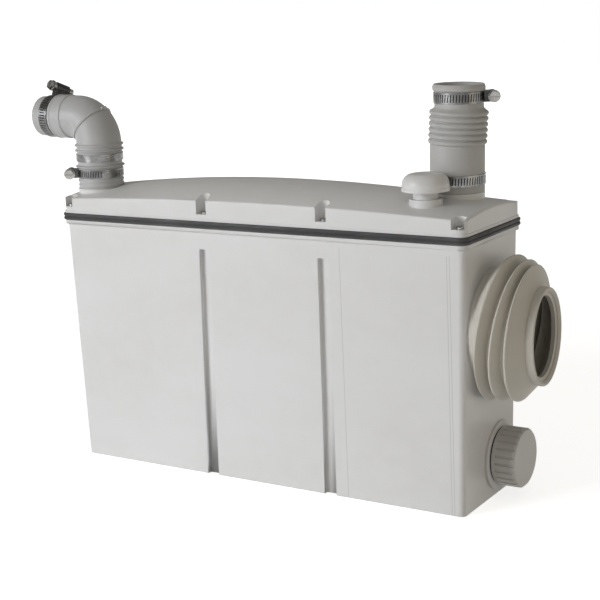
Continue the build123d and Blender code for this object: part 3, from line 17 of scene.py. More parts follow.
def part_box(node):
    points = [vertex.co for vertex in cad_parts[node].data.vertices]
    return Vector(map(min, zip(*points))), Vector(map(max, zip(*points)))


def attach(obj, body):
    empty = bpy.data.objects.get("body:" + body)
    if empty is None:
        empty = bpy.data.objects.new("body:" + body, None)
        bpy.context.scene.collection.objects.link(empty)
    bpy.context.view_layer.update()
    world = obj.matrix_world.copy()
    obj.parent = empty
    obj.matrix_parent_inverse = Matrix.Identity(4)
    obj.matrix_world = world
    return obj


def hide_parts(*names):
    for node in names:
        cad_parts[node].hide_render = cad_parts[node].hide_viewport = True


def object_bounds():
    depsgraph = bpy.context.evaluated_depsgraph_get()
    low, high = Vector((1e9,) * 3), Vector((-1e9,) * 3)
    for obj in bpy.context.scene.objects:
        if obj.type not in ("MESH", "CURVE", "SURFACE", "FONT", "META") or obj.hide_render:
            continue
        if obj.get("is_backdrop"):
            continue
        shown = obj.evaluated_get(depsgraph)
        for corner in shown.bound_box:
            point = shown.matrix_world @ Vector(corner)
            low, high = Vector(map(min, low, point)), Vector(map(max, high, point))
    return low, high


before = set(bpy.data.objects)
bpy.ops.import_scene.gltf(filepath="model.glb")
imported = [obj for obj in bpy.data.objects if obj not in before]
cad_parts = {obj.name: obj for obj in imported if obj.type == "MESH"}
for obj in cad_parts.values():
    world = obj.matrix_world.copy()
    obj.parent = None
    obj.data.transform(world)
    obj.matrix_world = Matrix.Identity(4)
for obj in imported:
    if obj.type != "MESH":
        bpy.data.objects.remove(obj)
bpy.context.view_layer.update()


def mm(value):
    """A workshop length as metres."""
    return value / 1000


# %% [markdown]
# ## The camera
# The photo was taken from the front right, a little above the lid. Its straight edges
# and round mouths give the camera's place, turn and lens, so the camera is built from
# those numbers and not nudged by hand. A long lens keeps the box's edges nearly parallel.

# %% Camera
# The sensor and the lens are in mm, and the two axes are the picture's right and up.
sensor_width, focal_length = 36, 86.12
near_clip, far_clip = 0.05, 30
camera_place = (mm(828.6), mm(-1287.0), mm(528.5))
camera_right = Vector((0.85070, 0.52418, -0.03935))
camera_up = Vector((-0.08083, 0.20442, 0.97554))

camera_data = bpy.data.cameras.new("camera")
camera_data.sensor_width = sensor_width
camera_data.lens = focal_length
camera_data.clip_start = near_clip
camera_data.clip_end = far_clip
camera = bpy.data.objects.new("camera", camera_data)
bpy.context.collection.objects.link(camera)
camera_back = camera_right.cross(camera_up)
turn = Matrix((camera_right, camera_up, camera_back)).transposed().to_4x4()
camera.matrix_world = Matrix.Translation(camera_place) @ turn
bpy.context.scene.camera = camera
print("camera looks along", [round(v, 3) for v in -camera_back])

# %% [markdown]
# ## Node helpers
# A finish is a small graph of shader nodes. `add_node` makes one node, sets it up and
# feeds its inputs, each with a plain value or with another node's output. The helpers
# after it name the few steps that every finish repeats. All noises read Object
# coordinates, so a pattern stays on its piece when the piece moves.


# %% Node helpers
def feed(tree, socket, value):
    """Gives an input a plain value, or links another node's output to it."""
    if isinstance(value, bpy.types.NodeSocket):
        tree.links.new(value, socket)
    else:
        socket.default_value = value


def add_node(tree, kind, inputs=None, **settings):
    """Makes a shader node with its settings and inputs, and returns its outputs."""
    node = tree.nodes.new("ShaderNode" + kind)
    for setting, value in settings.items():
        setattr(node, setting, value)
    for key, value in (inputs or {}).items():
        feed(tree, node.inputs[key], value)
    return node.outputs


def add_noise(tree, waves, detail=4.0, stretch=(1, 1, 1)):
    """A noise on Object coordinates, in waves per metre, stretched per axis."""
    place = add_node(tree, "TexCoord")["Object"]
    mapped = add_node(tree, "Mapping", {"Vector": place, "Scale": stretch})["Vector"]
    inputs = {"Vector": mapped, "Scale": waves, "Detail": detail}
    return add_node(tree, "TexNoise", inputs)["Fac"]


def add_range(tree, value, low, high, spread=(0.35, 0.65)):
    """Fits the spread of a value, such as a noise's middle, between low and high."""
    inputs = {"Value": value, "From Min": spread[0], "From Max": spread[1]}
    return add_node(tree, "MapRange", inputs | {"To Min": low, "To Max": high})["Result"]


def add_mix(tree, share, first, second):
    """Mixes two colours, each a linear colour or another node's output, by a share."""
    inputs = {"Factor": share}
    for key, colour in (("A", first), ("B", second)):
        inputs[key] = (*colour, 1) if isinstance(colour, tuple) else colour
    return add_node(tree, "Mix", inputs, data_type="RGBA")["Result"]


def add_math(tree, kind, first, second=0.0):
    """One sum on two values, each a number or another node's output."""
    return add_node(tree, "Math", {0: first, 1: second}, operation=kind)["Value"]


print("node helpers ready")

# %% [markdown]
# ## Finish helpers
# A moulded or pressed surface is never one flat colour. Each finish here is a Principled
# shader with three fields: noises that shift its colour a little, one that moves its
# gloss, and bumps that give it grain. The recipes below only differ in their noises.


# %% Finish helpers
def new_finish(name):
    """An empty material with a Principled shader, and its node tree."""
    finish = bpy.data.materials.new(name)
    finish.use_nodes = True
    tree = finish.node_tree
    return finish, tree, tree.nodes["Principled BSDF"]


def set_fields(tree, shader, colour, gloss, heights):
    """Gives a shader its colour and roughness, and bumps from heights with depths."""
    feed(tree, shader.inputs["Base Color"], colour)
    feed(tree, shader.inputs["Roughness"], gloss)
    bump = {"Strength": 1.0}
    for height, depth in heights:
        bump |= {"Height": height, "Distance": depth}
        bump["Normal"] = add_node(tree, "Bump", bump)["Normal"]
    feed(tree, shader.inputs["Normal"], bump["Normal"])


def grey(value, warm=0.0):
    """A linear grey from an eight-bit screen value, warmed towards yellow."""
    linear = ((value / 255 + 0.055) / 1.055) ** 2.4
    return (linear * (1 + warm), linear, linear * (1 - 2 * warm))


print("finish helpers ready")

# %% [markdown]
# ## Moulded plastic
# The tank and lid are injection moulded in off-white ABS. Seen close, such a wall has a
# satin spark-eroded grain, faint flow marks where the melt slowed, and a little grime
# that makes the gloss uneven. Slow noise gives the flow marks, quick noise the grain.


# %% Moulded plastics
def moulded(name, colour, shade, roughness=0.38, grain=0.00002):
    """A moulded plastic: slow flow marks, uneven gloss and a fine spark-eroded grain."""
    flow_waves, gloss_waves, cloud_waves, dimple_waves, grain_waves = 5, 15, 45, 35, 900
    finish, tree, shader = new_finish(name)
    marks = add_range(tree, add_noise(tree, flow_waves, 5.0, (1, 1, 2.2)), 0.0, 1.0)
    cloud = add_range(tree, add_noise(tree, cloud_waves, 3.0), 0.0, 0.5)
    tone = add_mix(tree, cloud, add_mix(tree, marks, colour, shade), colour)
    gloss = add_noise(tree, gloss_waves, 6.0)
    gloss = add_range(tree, gloss, roughness - 0.05, roughness + 0.09)
    fine, coarse = add_noise(tree, grain_waves, 2.0), add_noise(tree, dimple_waves, 3.0)
    set_fields(tree, shader, tone, gloss, ((fine, grain), (coarse, grain * 2.5)))
    return finish


shell_colours = grey(229, 0.002), grey(223, 0.010)
abs_white = moulded("abs_white", *shell_colours)
cap_white = moulded("cap_white", grey(196, 0.022), grey(189, 0.030), 0.34)
vent_white = moulded("vent_white", grey(231, 0.006), grey(224, 0.012), 0.30)
grey_plastic = moulded("grey_plastic", grey(98), grey(88), 0.5, 0.00004)
pump_plastic = moulded("pump_plastic", grey(58), grey(50), 0.5, 0.00004)
black_plastic = moulded("black_plastic", grey(34), grey(27), 0.42, 0.00003)
white_nylon = moulded("white_nylon", grey(214, 0.02), grey(204, 0.03), 0.4)
motor_enamel = moulded("motor_enamel", grey(48), grey(40), 0.35, 0.00003)
# Painted shade, with a little grime: this dark finish lines the band slots and stands in
# for the shade deep inside them.
slot_shade_and_grime = moulded("slot_shade_and_grime", grey(42, 0.02), grey(30, 0.02), 0.7)
print("moulded plastics ready")

# %% [markdown]
# ## Witness lines on the tank
# The front wall comes from a mould whose face is made of joined plates. Their joints
# leave hair-thin upright lines, which only show when light grazes them. They are drawn in
# the finish: a line is where X lies close to a joint, on the front alone.

# %% Witness lines
# Places along X, half a line's width, and the limits in Y and Z, all in mm.
joint_places, line_half = (109.0, 228.5, 231.5), 0.45
front_from, lines_top = -60.0, 266.0
line_colour = grey(208, 0.004)


def draw_witness_lines(finish):
    """Draws the upright joint lines of the front wall into a finish's colour."""
    tree = finish.node_tree
    colour = tree.nodes["Principled BSDF"].inputs["Base Color"]
    place = add_node(tree, "TexCoord")["Object"]
    x, y, z = add_node(tree, "SeparateXYZ", {"Vector": place})
    lines = 0.0
    for joint in joint_places:
        aside = add_math(tree, "ABSOLUTE", add_math(tree, "SUBTRACT", x, mm(joint)))
        line = add_math(tree, "LESS_THAN", aside, mm(line_half))
        lines = add_math(tree, "MAXIMUM", line, lines)
    for axis, limit in ((y, front_from), (z, lines_top)):
        inside = add_math(tree, "LESS_THAN", axis, mm(limit))
        lines = add_math(tree, "MULTIPLY", lines, inside)
    plain = colour.links[0].from_socket
    feed(tree, colour, add_mix(tree, lines, plain, line_colour))


tank_white = moulded("tank_white", *shell_colours)
draw_witness_lines(tank_white)
print("witness lines ready")

# %% [markdown]
# ## Rubber
# Rubber is duller than plastic. It holds talc and dust, so it has pale bloom in patches,
# and its moulds leave a softer grain. A little sheen lifts the edges that turn away.


# %% Rubbers
def rubber(name, colour, bloom, roughness=0.62, grain=0.00004):
    """A pressed rubber: patches of bloom, dull gloss and a soft grain."""
    patch_waves, gloss_waves, speck_waves = 14, 30, 260
    dimple_waves, grain_waves = 60, 520
    finish, tree, shader = new_finish(name)
    patches = add_range(tree, add_noise(tree, patch_waves, 6.0), 0.0, 1.0, (0.38, 0.68))
    specks = add_range(tree, add_noise(tree, speck_waves, 2.0), 0.0, 0.35, (0.5, 0.75))
    tone = add_mix(tree, specks, add_mix(tree, patches, colour, bloom), bloom)
    gloss = add_noise(tree, gloss_waves, 4.0)
    gloss = add_range(tree, gloss, roughness - 0.07, roughness + 0.08)
    shader.inputs["Sheen Weight"].default_value = 0.08
    shader.inputs["Sheen Roughness"].default_value = 0.5
    fine, coarse = add_noise(tree, grain_waves, 3.0), add_noise(tree, dimple_waves, 3.0)
    set_fields(tree, shader, tone, gloss, ((fine, grain), (coarse, grain * 2)))
    return finish


bellows_rubber = rubber("bellows_rubber", grey(204, 0.055), grey(210, 0.048), 0.55)
hose_rubber = rubber("hose_rubber", grey(187, 0.015), grey(193, 0.012), 0.55)
elbow_rubber = rubber("elbow_rubber", grey(188, 0.004), grey(194, 0.004), 0.42)
gasket_rubber = rubber("gasket_rubber", grey(50), grey(68), 0.6)
dark_rubber = rubber("dark_rubber", grey(36), grey(48), 0.6)
foam = rubber("foam", grey(30), grey(42), 0.9, 0.0004)
print("rubbers ready")

# %% [markdown]
# ## Metal
# The clips are rolled stainless strip. Rolling leaves fine scratches along the strip, so
# the noise is stretched. Screws are zinc plated, with a cloudier and duller face. The
# inner pieces get the same recipe with their own colour, scratch and wear.

# %% Metals
copper, dull_copper = (0.58, 0.22, 0.08), (0.42, 0.14, 0.05)
brass, dull_brass = (0.62, 0.42, 0.14), (0.5, 0.33, 0.1)


def metal(name, colour, shade, roughness=0.3, stretch=(1, 1, 14), depth=0.000008):
    """A worked metal: stretched scratches, cloudy tone and uneven polish."""
    cloud_waves, scratch_waves = 70, 160
    finish, tree, shader = new_finish(name)
    shader.inputs["Metallic"].default_value = 1.0
    cloud = add_range(tree, add_noise(tree, cloud_waves, 5.0), 0.0, 1.0)
    tone = add_mix(tree, cloud, colour, shade)
    scratch = add_noise(tree, scratch_waves, 4.0, stretch)
    gloss = add_range(tree, scratch, roughness - 0.08, roughness + 0.14)
    set_fields(tree, shader, tone, gloss, ((scratch, depth),))
    return finish


stainless = metal("stainless", grey(142), grey(98), 0.27, (1, 1, 6))
housing_steel = metal("housing_steel", grey(96), grey(66), 0.3, (1, 1, 2))
zinc_steel = metal("zinc_steel", grey(190, 0.01), grey(140, 0.02), 0.28, (1, 1, 1))
motor_alloy = metal("motor_alloy", grey(176), grey(160), 0.48, (1, 1, 1), 0.00004)
lamination = metal("lamination", grey(110), grey(92), 0.45, (0.2, 0.2, 6), 0.00005)
cutter_steel = metal("cutter_steel", grey(190), grey(168), 0.22, (5, 1, 1))
brass_pin = metal("brass_pin", brass, dull_brass, 0.25)
copper_wire = metal("copper_wire", copper, dull_copper, 0.35, (0.3, 0.3, 9))
print("metals ready")

# %% [markdown]
# ## Dressing the carried-over CAD pieces
# The rigid shapes come straight from the CAD, so they only need their finish. One table
# names the pieces of each finish. The clips aren't in it, because the last word of their
# name tells enough: a band, a screw, or else the housing that holds them.

# %% Finish of each CAD node
dressed_in = (
    (tank_white, "tank"),
    (abs_white, "lid"),
    (cap_white, "drain_cap"),
    (vent_white, "vent_cap"),
    (grey_plastic, "cable_gland motor_deck"),
    (black_plastic, "microswitch run_capacitor"),
    (pump_plastic, "impeller pump_volute suction_cover"),
    (white_nylon, "discharge_pipe valve_seat switch_plunger terminal_block"),
    (white_nylon, "pressure_chamber pressure_cover"),
    (dark_rubber, "drain_seal shaft_seal pipe_sleeves valve_flap pressure_diaphragm"),
    (foam, "vent_filter"),
    (gasket_rubber, "lid_gasket"),
    (bellows_rubber, "wc_bellows"),
    (hose_rubber, "inlet_hose"),
    (elbow_rubber, "discharge_elbow"),
    (motor_enamel, "motor_can"),
    (motor_alloy, "motor_end_cap shaft_column"),
    (stainless, "lower_bearing upper_bearing motor_shaft"),
    (lamination, "stator_core rotor_core"),
    (copper_wire, "stator_windings"),
    (cutter_steel, "cutter_blade grinder_basket"),
    (brass_pin, "valve_pin"),
    (zinc_steel, "deck_screws lid_screws"),
)
finish_of = {node: finish for finish, nodes in dressed_in for node in nodes.split()}
clip_finishes = {"band": stainless, "screw": zinc_steel}
for node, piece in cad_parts.items():
    clip_finish = clip_finishes.get(node.split("_")[-1], housing_steel)
    piece.data.materials.clear()
    piece.data.materials.append(finish_of.get(node, clip_finish))
print(len(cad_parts), "CAD nodes dressed")

# %% [markdown]
# ## Turning a new mesh into a piece
# Each new piece is drawn with bmesh operators in its own place. `finish_piece` closes
# doubled points, turns the faces outwards, smooths them, and ties the piece to the body
# that carries it.

# %% Piece helpers
weld = mm(0.01)
Box = namedtuple("Box", "low high middle")


def box_of(node):
    """The low corner, the high corner and the middle of a CAD node."""
    low, high = (Vector(corner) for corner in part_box(node))
    return Box(low, high, (low + high) / 2)


def object_of(name, mesh):
    """Puts a bmesh into the scene as an object, and frees it."""
    data = bpy.data.meshes.new(name)
    mesh.to_mesh(data)
    mesh.free()
    made = bpy.data.objects.new(name, data)
    bpy.context.collection.objects.link(made)
    return made


def finish_piece(name, mesh, body, node, finish, smooth=35):
    """Makes a bmesh a piece of a body, in place of a CAD node where one is named."""
    bmesh.ops.remove_doubles(mesh, verts=mesh.verts, dist=weld)
    bmesh.ops.recalc_face_normals(mesh, faces=mesh.faces)
    piece = object_of(name, mesh)
    piece.data.materials.append(finish)
    piece.data.shade_smooth()
    piece.data.set_sharp_from_angle(angle=math.radians(smooth))
    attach(piece, body)
    if node:
        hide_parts(node)
    print(name, len(piece.data.polygons), "faces")
    return piece


print("piece helpers ready")

# %% [markdown]
# ## Shaping helpers
# Most rubber here is turned: a profile of radius and height pairs is spun about Z, then
# laid along the axis it needs. Sharp corners of a profile are rounded first, because a
# rubber mould has none. Other pieces are rings of points joined by faces.


# %% Shaping helpers
def rounded(points, radius, steps=4):
    """Rounds the corners between the ends of an open profile with short curves."""
    most = 0.48
    out = [points[0]]
    for before, here, after in zip(points, points[1:], points[2:]):
        corner = Vector(here)
        back, ahead = Vector(before) - corner, Vector(after) - corner
        reach = min(radius, back.length * most, ahead.length * most)
        start = corner + back.normalized() * reach
        end = corner + ahead.normalized() * reach
        for step in range(steps + 1):
            share = step / steps
            near, far = start.lerp(corner, share), corner.lerp(end, share)
            out.append(tuple(near.lerp(far, share)))
    out.append(points[-1])
    return out


def turned(points, steps=96, closed=True):
    """A mesh turned about Z from a profile of radius and height pairs, in mm."""
    mesh = bmesh.new()
    if closed:
        points = [*points, points[0]]
    made = [mesh.verts.new((mm(radius), 0, mm(height))) for radius, height in points]
    line = made + [mesh.edges.new(pair) for pair in zip(made, made[1:])]
    round_z = {"axis": (0, 0, 1), "cent": (0, 0, 0), "angle": math.tau}
    bmesh.ops.spin(
        mesh, geom=line, steps=steps, use_merge=True, use_duplicate=False, **round_z
    )
    bmesh.ops.remove_doubles(mesh, verts=mesh.verts, dist=weld)
    return mesh


def stand(mesh, axis, centre):
    """Turns a mesh drawn about Z to lie along an axis, and puts it at a centre."""
    spin = Vector((0, 0, 1)).rotation_difference(Vector(axis)).to_matrix().to_4x4()
    mesh.transform(Matrix.Translation(centre) @ spin)


def join_rings(mesh, near, far):
    """Joins two closed rings of as many points by faces."""
    for place in range(len(near)):
        beside = (place + 1) % len(near)
        mesh.faces.new((near[place], near[beside], far[beside], far[place]))


def merge(target, other):
    """Adds one mesh to another and frees it."""
    carrier = bpy.data.meshes.new("carrier")
    other.to_mesh(carrier)
    other.free()
    target.from_mesh(carrier)
    bpy.data.meshes.remove(carrier)


def share_between(value, start, end):
    """How far a value is on its way from start to end, held between 0 and 1."""
    return min(1, max(0, (value - start) / (end - start)))


print("shaping helpers ready")

# %% [markdown]
# ## Clear space in the tank's channels
# The tank's long sides each have two moulded channels, which lean and narrow a little as
# they rise, as the walls do. Inside the tank a ledge carries the motor deck, and where it
# crosses a channel its outer edge would show as a bar. Each bar is marked here by a
# block that fills the channel at the ledge's height.

# %% Channel space
# All lengths are in mm. A channel has its middle's X at its foot and at its head. A long
# wall has its face's Y at the floor and how far that moves over the wall's height. The
# blocks stay a film's width off the channel's own faces.
ledge_foot, ledge_top = 225.98, 232.02
channels = ((-63.5, -57.5), (87.0, 89.8))
channel_foot, channel_head, channel_depth = -5.0, 254.0, 5.5
foot_width, narrowing = 14.6, 1.2
wall_height = 272.5
wall_faces = {-1: (-61.5, -3.0), 1: (63.1, 1.4)}
film, beyond_wall = 0.02, 3


def channel_section(mesh, foot_x, top_x, side, height):
    """Four corners of the clear space in a channel at a height, in mm."""
    share = (height - channel_foot) / (channel_head - channel_foot)
    middle = foot_x + (top_x - foot_x) * share
    half = (foot_width - narrowing * share) / 2 - film
    face_foot, face_lean = wall_faces[side]
    face = face_foot + face_lean * height / wall_height
    near, far = face - side * (channel_depth - film), face + side * beyond_wall
    corners = ((-half, near), (half, near), (half, far), (-half, far))
    return [mesh.verts.new((mm(middle + x), mm(y), mm(height))) for x, y in corners]


space = bmesh.new()
for foot_x, top_x in channels:
    for side in wall_faces:
        low, high = (
            channel_section(space, foot_x, top_x, side, height)
            for height in (ledge_foot, ledge_top)
        )
        space.faces.new(low)
        space.faces.new(high)
        join_rings(space, low, high)
bmesh.ops.recalc_face_normals(space, faces=space.faces)
print("channel space has", len(space.faces), "faces")

# %% [markdown]
# ## Tank
# The tank keeps the CAD's shape. A copy of its mesh is made, its doubled points are
# closed, and a Boolean takes the marked blocks away, so that the channels run clear from
# top to foot as a real mould leaves them. Weighted normals keep its walls looking flat.

# %% Tank
cutter = object_of("channel_space", space)
mesh = bmesh.new()
mesh.from_mesh(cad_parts["tank"].data)
bmesh.ops.remove_doubles(mesh, verts=mesh.verts, dist=weld)
blank = object_of("tank_blank", mesh)
trim = blank.modifiers.new("trim", "BOOLEAN")
trim.operation = "DIFFERENCE"
trim.solver = "EXACT"
trim.object = cutter
evaluated = blank.evaluated_get(bpy.context.evaluated_depsgraph_get())
trimmed = bpy.data.meshes.new_from_object(evaluated)
mesh = bmesh.new()
mesh.from_mesh(trimmed)
bpy.data.meshes.remove(trimmed)
for part in (cutter, blank):
    data = part.data
    bpy.data.objects.remove(part)
    bpy.data.meshes.remove(data)
tank = finish_piece("tank_shell", mesh, "casing", "tank", tank_white, 32)
even = tank.modifiers.new("even_normals", "WEIGHTED_NORMAL")
even.keep_sharp = True
even.weight = 100

# %% [markdown]
# ## Profile of the pan inlet bellows
# The bellows is a soft rubber moulding. Its base grips the tank's spigot, three folds let
# the toilet stand a little out of line, and a thick lip closes on the pan. Outside and
# inside together make one closed profile, as a potter would draw a hollow pot.

# %% Bellows profile
# Lengths are in mm: points are a radius and a reach from the wall. Each fold has its
# reach, its crest's radius and its tilt in degrees.
folds = ((13.2, 74.5, 7.0), (25.2, 72.4, 7.5), (36.6, 69.4, 4.5))
last_fold = folds[-1][0]
crest_half, crest_step, crest_wall = 1.1, 1.0, 3.4
valley_outside, valley_inside = 58.4, 56.1
outside = [(54.2, 0.0), (58.9, 0.0), (58.9, 5.0)]
inside = []
for reach, crest, _ in folds:
    shoulder = crest - crest_step
    outside += [(shoulder, reach - crest_half), (crest, reach)]
    outside += [(shoulder, reach + crest_half)]
    inside += [(crest - crest_wall, reach)]
    if reach < last_fold:
        outside += [(valley_outside, reach + 4.9), (valley_outside, reach + 6.9)]
        inside += [(valley_inside, reach + 5.2), (valley_inside, reach + 6.6)]
outside += [(50.2, 47.6), (48.6, 48.3), (49.3, 49.2)]
outside += [(49.3, 55.9), (48.6, 56.8), (46.6, 56.8)]
lip = [(45.0, 55.2), (44.4, 54.6), (44.4, 53.2), (40.8, 52.4), (40.8, 48.2), (46.4, 47.2)]
sleeve_inside = [(56.6, 5.6), (54.2, 5.4)]
profile = rounded(outside, 0.7) + lip + inside[::-1] + sleeve_inside
print("bellows profile has", len(profile), "points")

# %% [markdown]
# ## Bending the bellows
# The rubber hangs: its mouth lies lower than its base and looks a little aside. So the
# turned shape is bent ring by ring. A ring sinks, drifts and swings by its share of the
# way to the lip, and tilts as much as the folds on either side of it.

# %% Bellows
# The lip sinks by the droop and moves back by the drift, in mm, and swings in degrees.
base_centre = Vector((box_of("wc_bellows").low.x, mm(1.5), mm(184)))
droop, drift, swing = 7.0, 3.5, 5.5
bend_from, lip_from = 9.7, 48.0
tilts = [(5.5, 0.0), *((reach, tilt) for reach, _, tilt in folds), (lip_from, 0.0)]


def tilt_at(reach):
    """The tilt in degrees of the ring at a reach, between its neighbours' tilts."""
    for (near, near_tilt), (far, far_tilt) in zip(tilts, tilts[1:]):
        if near <= reach <= far:
            return near_tilt + (far_tilt - near_tilt) * (reach - near) / (far - near)
    return 0


mesh = turned(profile, 144)
for vert in mesh.verts:
    reach = vert.co.z * 1000
    share = share_between(reach, bend_from, lip_from)
    tilt, aside = math.radians(tilt_at(reach)), math.radians(swing * share)
    height, across = -vert.co.x, vert.co.y
    vert.co = base_centre + Vector((
        mm(reach) + height * math.sin(tilt) - across * math.sin(aside),
        across * math.cos(aside) + mm(drift * share),
        height * math.cos(tilt) - mm(droop * share),
    ))
finish_piece(
    "bellows_folds", mesh, "casing", "wc_bellows", bellows_rubber, 42
)

# %% [markdown]
# ## Ribbed inlet hose
# The connector is a rubber sleeve with six rounded ribs, which let it bend, and a flared
# lip at its mouth. It is turned from one profile as the bellows was. Above its base clip
# it leans towards the pan, and its mouth tips back almost level.

# %% Hose
# Points are a radius and a height above the lid's foot, in mm, and the tips are degrees.
rib_count, first_rib, rib_pitch = 6, 81.4, 5.78
rib_shape = (
    (27.2, -2.75), (28.8, -2.0), (29.7, -0.8), (29.7, 0.8), (28.8, 2.0), (27.2, 2.75),
)
lean, lean_from, lean_to = 3.3, 67, 113.5
tip, tip_back, mouth_from, mouth_to = 3.0, 2.0, 112, 120

hose_foot = [(24.5, 30.5), (27.75, 30.5), (27.75, 77.0)]
rib_crests = [first_rib + rib * rib_pitch for rib in range(rib_count)]
ribs = [(radius, crest + step) for crest in rib_crests for radius, step in rib_shape]
hose_mouth = [(24.8, 115.2), (24.6, 118.0), (24.6, 131.4)]
hose_mouth += [(26.4, 132.6), (26.6, 136.0), (25.4, 138.6)]
hose_bore = [(23.0, 138.6), (21.8, 137.2), (21.8, 66.9), (24.5, 62.0)]
mesh = turned(rounded(hose_foot + ribs + hose_mouth, 0.9) + hose_bore, 96)
hose_centre = box_of("inlet_base_clip_band").middle
lid_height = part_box("lid")[0][2]
for vert in mesh.verts:
    rise = vert.co.z * 1000
    share = share_between(rise, lean_from, lean_to)
    back = tip_back * share_between(rise, mouth_from, mouth_to)
    angle = math.radians(tip * min(share * 3, 1) - back)
    vert.co.z -= vert.co.x * math.sin(angle)
    vert.co += Vector((hose_centre.x + mm(lean * share), hose_centre.y, lid_height))
finish_piece("hose_ribs", mesh, "casing", "inlet_hose", hose_rubber, 50)

# %% [markdown]
# ## Profile of the discharge elbow
# The elbow is one moulding: a ribbed sleeve, a quarter bend and a limb that narrows for
# its clip. Its profile is drawn as if the tube were straight, with the bend's length laid
# out along it. Points are a radius and a height above the lid's foot, in mm.

# %% Elbow profile
sleeve_foot, bend_foot, bend_radius, limb_length = 25.0, 76.0, 28.0, 50.0
bend_run, bend_steps = bend_radius * math.pi / 2, 14
limb_start = bend_foot + bend_run
elbow_end = limb_start + limb_length
# Each rib of the sleeve has its height, the waist's radius and its own radius.
sleeve_ribs = (
    (28.5, 24.9, 25.7), (33.5, 24.9, 25.7), (49.5, 24.9, 27.6),
    (67.5, 25.5, 27.6), (73.2, 25.5, 27.6),
)
rib_foot, rib_flat = 1.8, 0.6
sleeve = [(21.6, sleeve_foot), (24.9, sleeve_foot)]
for crest, waist, radius in sleeve_ribs:
    sleeve += [(waist, crest - rib_foot), (radius, crest - rib_flat)]
    sleeve += [(radius, crest + rib_flat), (waist, crest + rib_foot)]

bend = []
bend_start, thinning = 25.4, 1.5
for step in range(1, bend_steps):
    radius = bend_start - thinning * step / bend_steps
    bend.append((radius, bend_foot + bend_run * step / bend_steps))
limb_shape = (
    (23.9, 0.0), (23.8, 7.4), (24.9, 8.2), (24.7, 12.0), (24.3, 21.6), (24.9, 22.6),
    (24.9, 25.0), (23.0, 26.0), (23.0, 38.0), (22.6, 39.2), (22.6, 49.2), (21.8, 50.0),
)
limb = [(radius, limb_start + run) for radius, run in limb_shape]

bore_radius, mouth_radius, sleeve_bore, mouth_depth = 19.0, 18.0, 21.6, 26.0
bore = [(18.8, elbow_end), (mouth_radius, elbow_end - 0.8)]
bore += [(mouth_radius, elbow_end - mouth_depth), (bore_radius, elbow_end - mouth_depth)]
for step in range(bend_steps + 1):
    bore.append((bore_radius, limb_start - bend_run * step / bend_steps))
bore += [(bore_radius, 58.3), (sleeve_bore, 58.3)]
elbow_profile = rounded(sleeve, 0.8) + bend + rounded(limb, 0.8) + bore
print("elbow profile has", len(elbow_profile), "points")

# %% [markdown]
# ## Bending the elbow
# The straight tube is turned with all its ribs and necks. Then every ring above the
# sleeve moves along a quarter circle and on along the limb, and keeps its radius.

# %% Elbow
mesh = turned(elbow_profile, 96)
for vert in mesh.verts:
    run = vert.co.z * 1000 - bend_foot
    if run <= 0:
        continue
    angle = min(run / bend_radius, math.pi / 2)
    beyond = max(0, run - bend_run)
    reach = bend_radius + vert.co.x * 1000
    vert.co.x = mm(reach * math.cos(angle) - bend_radius - beyond)
    vert.co.z = mm(bend_foot + reach * math.sin(angle))
elbow_axis = box_of("elbow_base_clip_band").middle
elbow_place = (elbow_axis.x, elbow_axis.y, lid_height)
bmesh.ops.translate(mesh, verts=mesh.verts, vec=elbow_place)
finish_piece(
    "elbow_bend", mesh, "elbow", "discharge_elbow", elbow_rubber, 50
)

# %% [markdown]
# ## Seam of the elbow
# Where the two halves of the mould met, the bend carries a raised bead, with a small
# lug at its outer corner. A ring is turned, tipped to forty-five degrees and let into
# the wall, and the lug is a small bevelled block.

# %% Seam bead and lug
bead = [(23.0, -1.6), (25.2, -1.6), (26.1, -0.7), (26.1, 0.7), (25.2, 1.6), (23.0, 1.6)]
lug_size, lug_reach, lug_bevel = (6.0, 9.0, 3.0), 24.6, 1.0
mesh = turned(rounded(bead, 0.6), 96)
lug = bmesh.ops.create_cube(mesh, size=mm(1))["verts"]
bmesh.ops.scale(mesh, vec=lug_size, verts=lug)
bmesh.ops.translate(mesh, vec=(mm(lug_reach), 0, 0), verts=lug)
lug_edges = [edge for edge in mesh.edges if all(vert in lug for vert in edge.verts)]
bevel = {"offset": mm(lug_bevel), "segments": 3, "profile": 0.5, "material": -1}
bmesh.ops.bevel(mesh, geom=lug_edges, affect="EDGES", **bevel)
tipped = Matrix.Rotation(math.radians(-45), 3, "Y")
bmesh.ops.rotate(mesh, verts=mesh.verts, cent=(0, 0, 0), matrix=tipped)
halfway = mm(bend_radius * math.sqrt(0.5))
bend_height = lid_height + mm(bend_foot)
bend_centre = Vector((elbow_axis.x - mm(bend_radius), elbow_axis.y, bend_height))
seam_place = bend_centre + Vector((halfway, 0, halfway))
bmesh.ops.translate(mesh, verts=mesh.verts, vec=seam_place)
finish_piece("elbow_seam", mesh, "elbow", None, elbow_rubber)

# %% [markdown]
# ## Hose clip bands
# A worm-drive clip has a band of thin stainless strip, punched with slanted slots that
# the worm climbs like a rack. One pitch of strip with its slot is drawn as four faces
# round a hole. Repeated round the circle and thickened outwards, it makes the band.

# %% Band helper
# A slot's places and its slant are shares of the pitch, its height one of the width.
slot_pitch, slot_slant, slot_height = mm(2.9), 0.13, 0.34
slot_from, slot_to = 0.31, 0.67


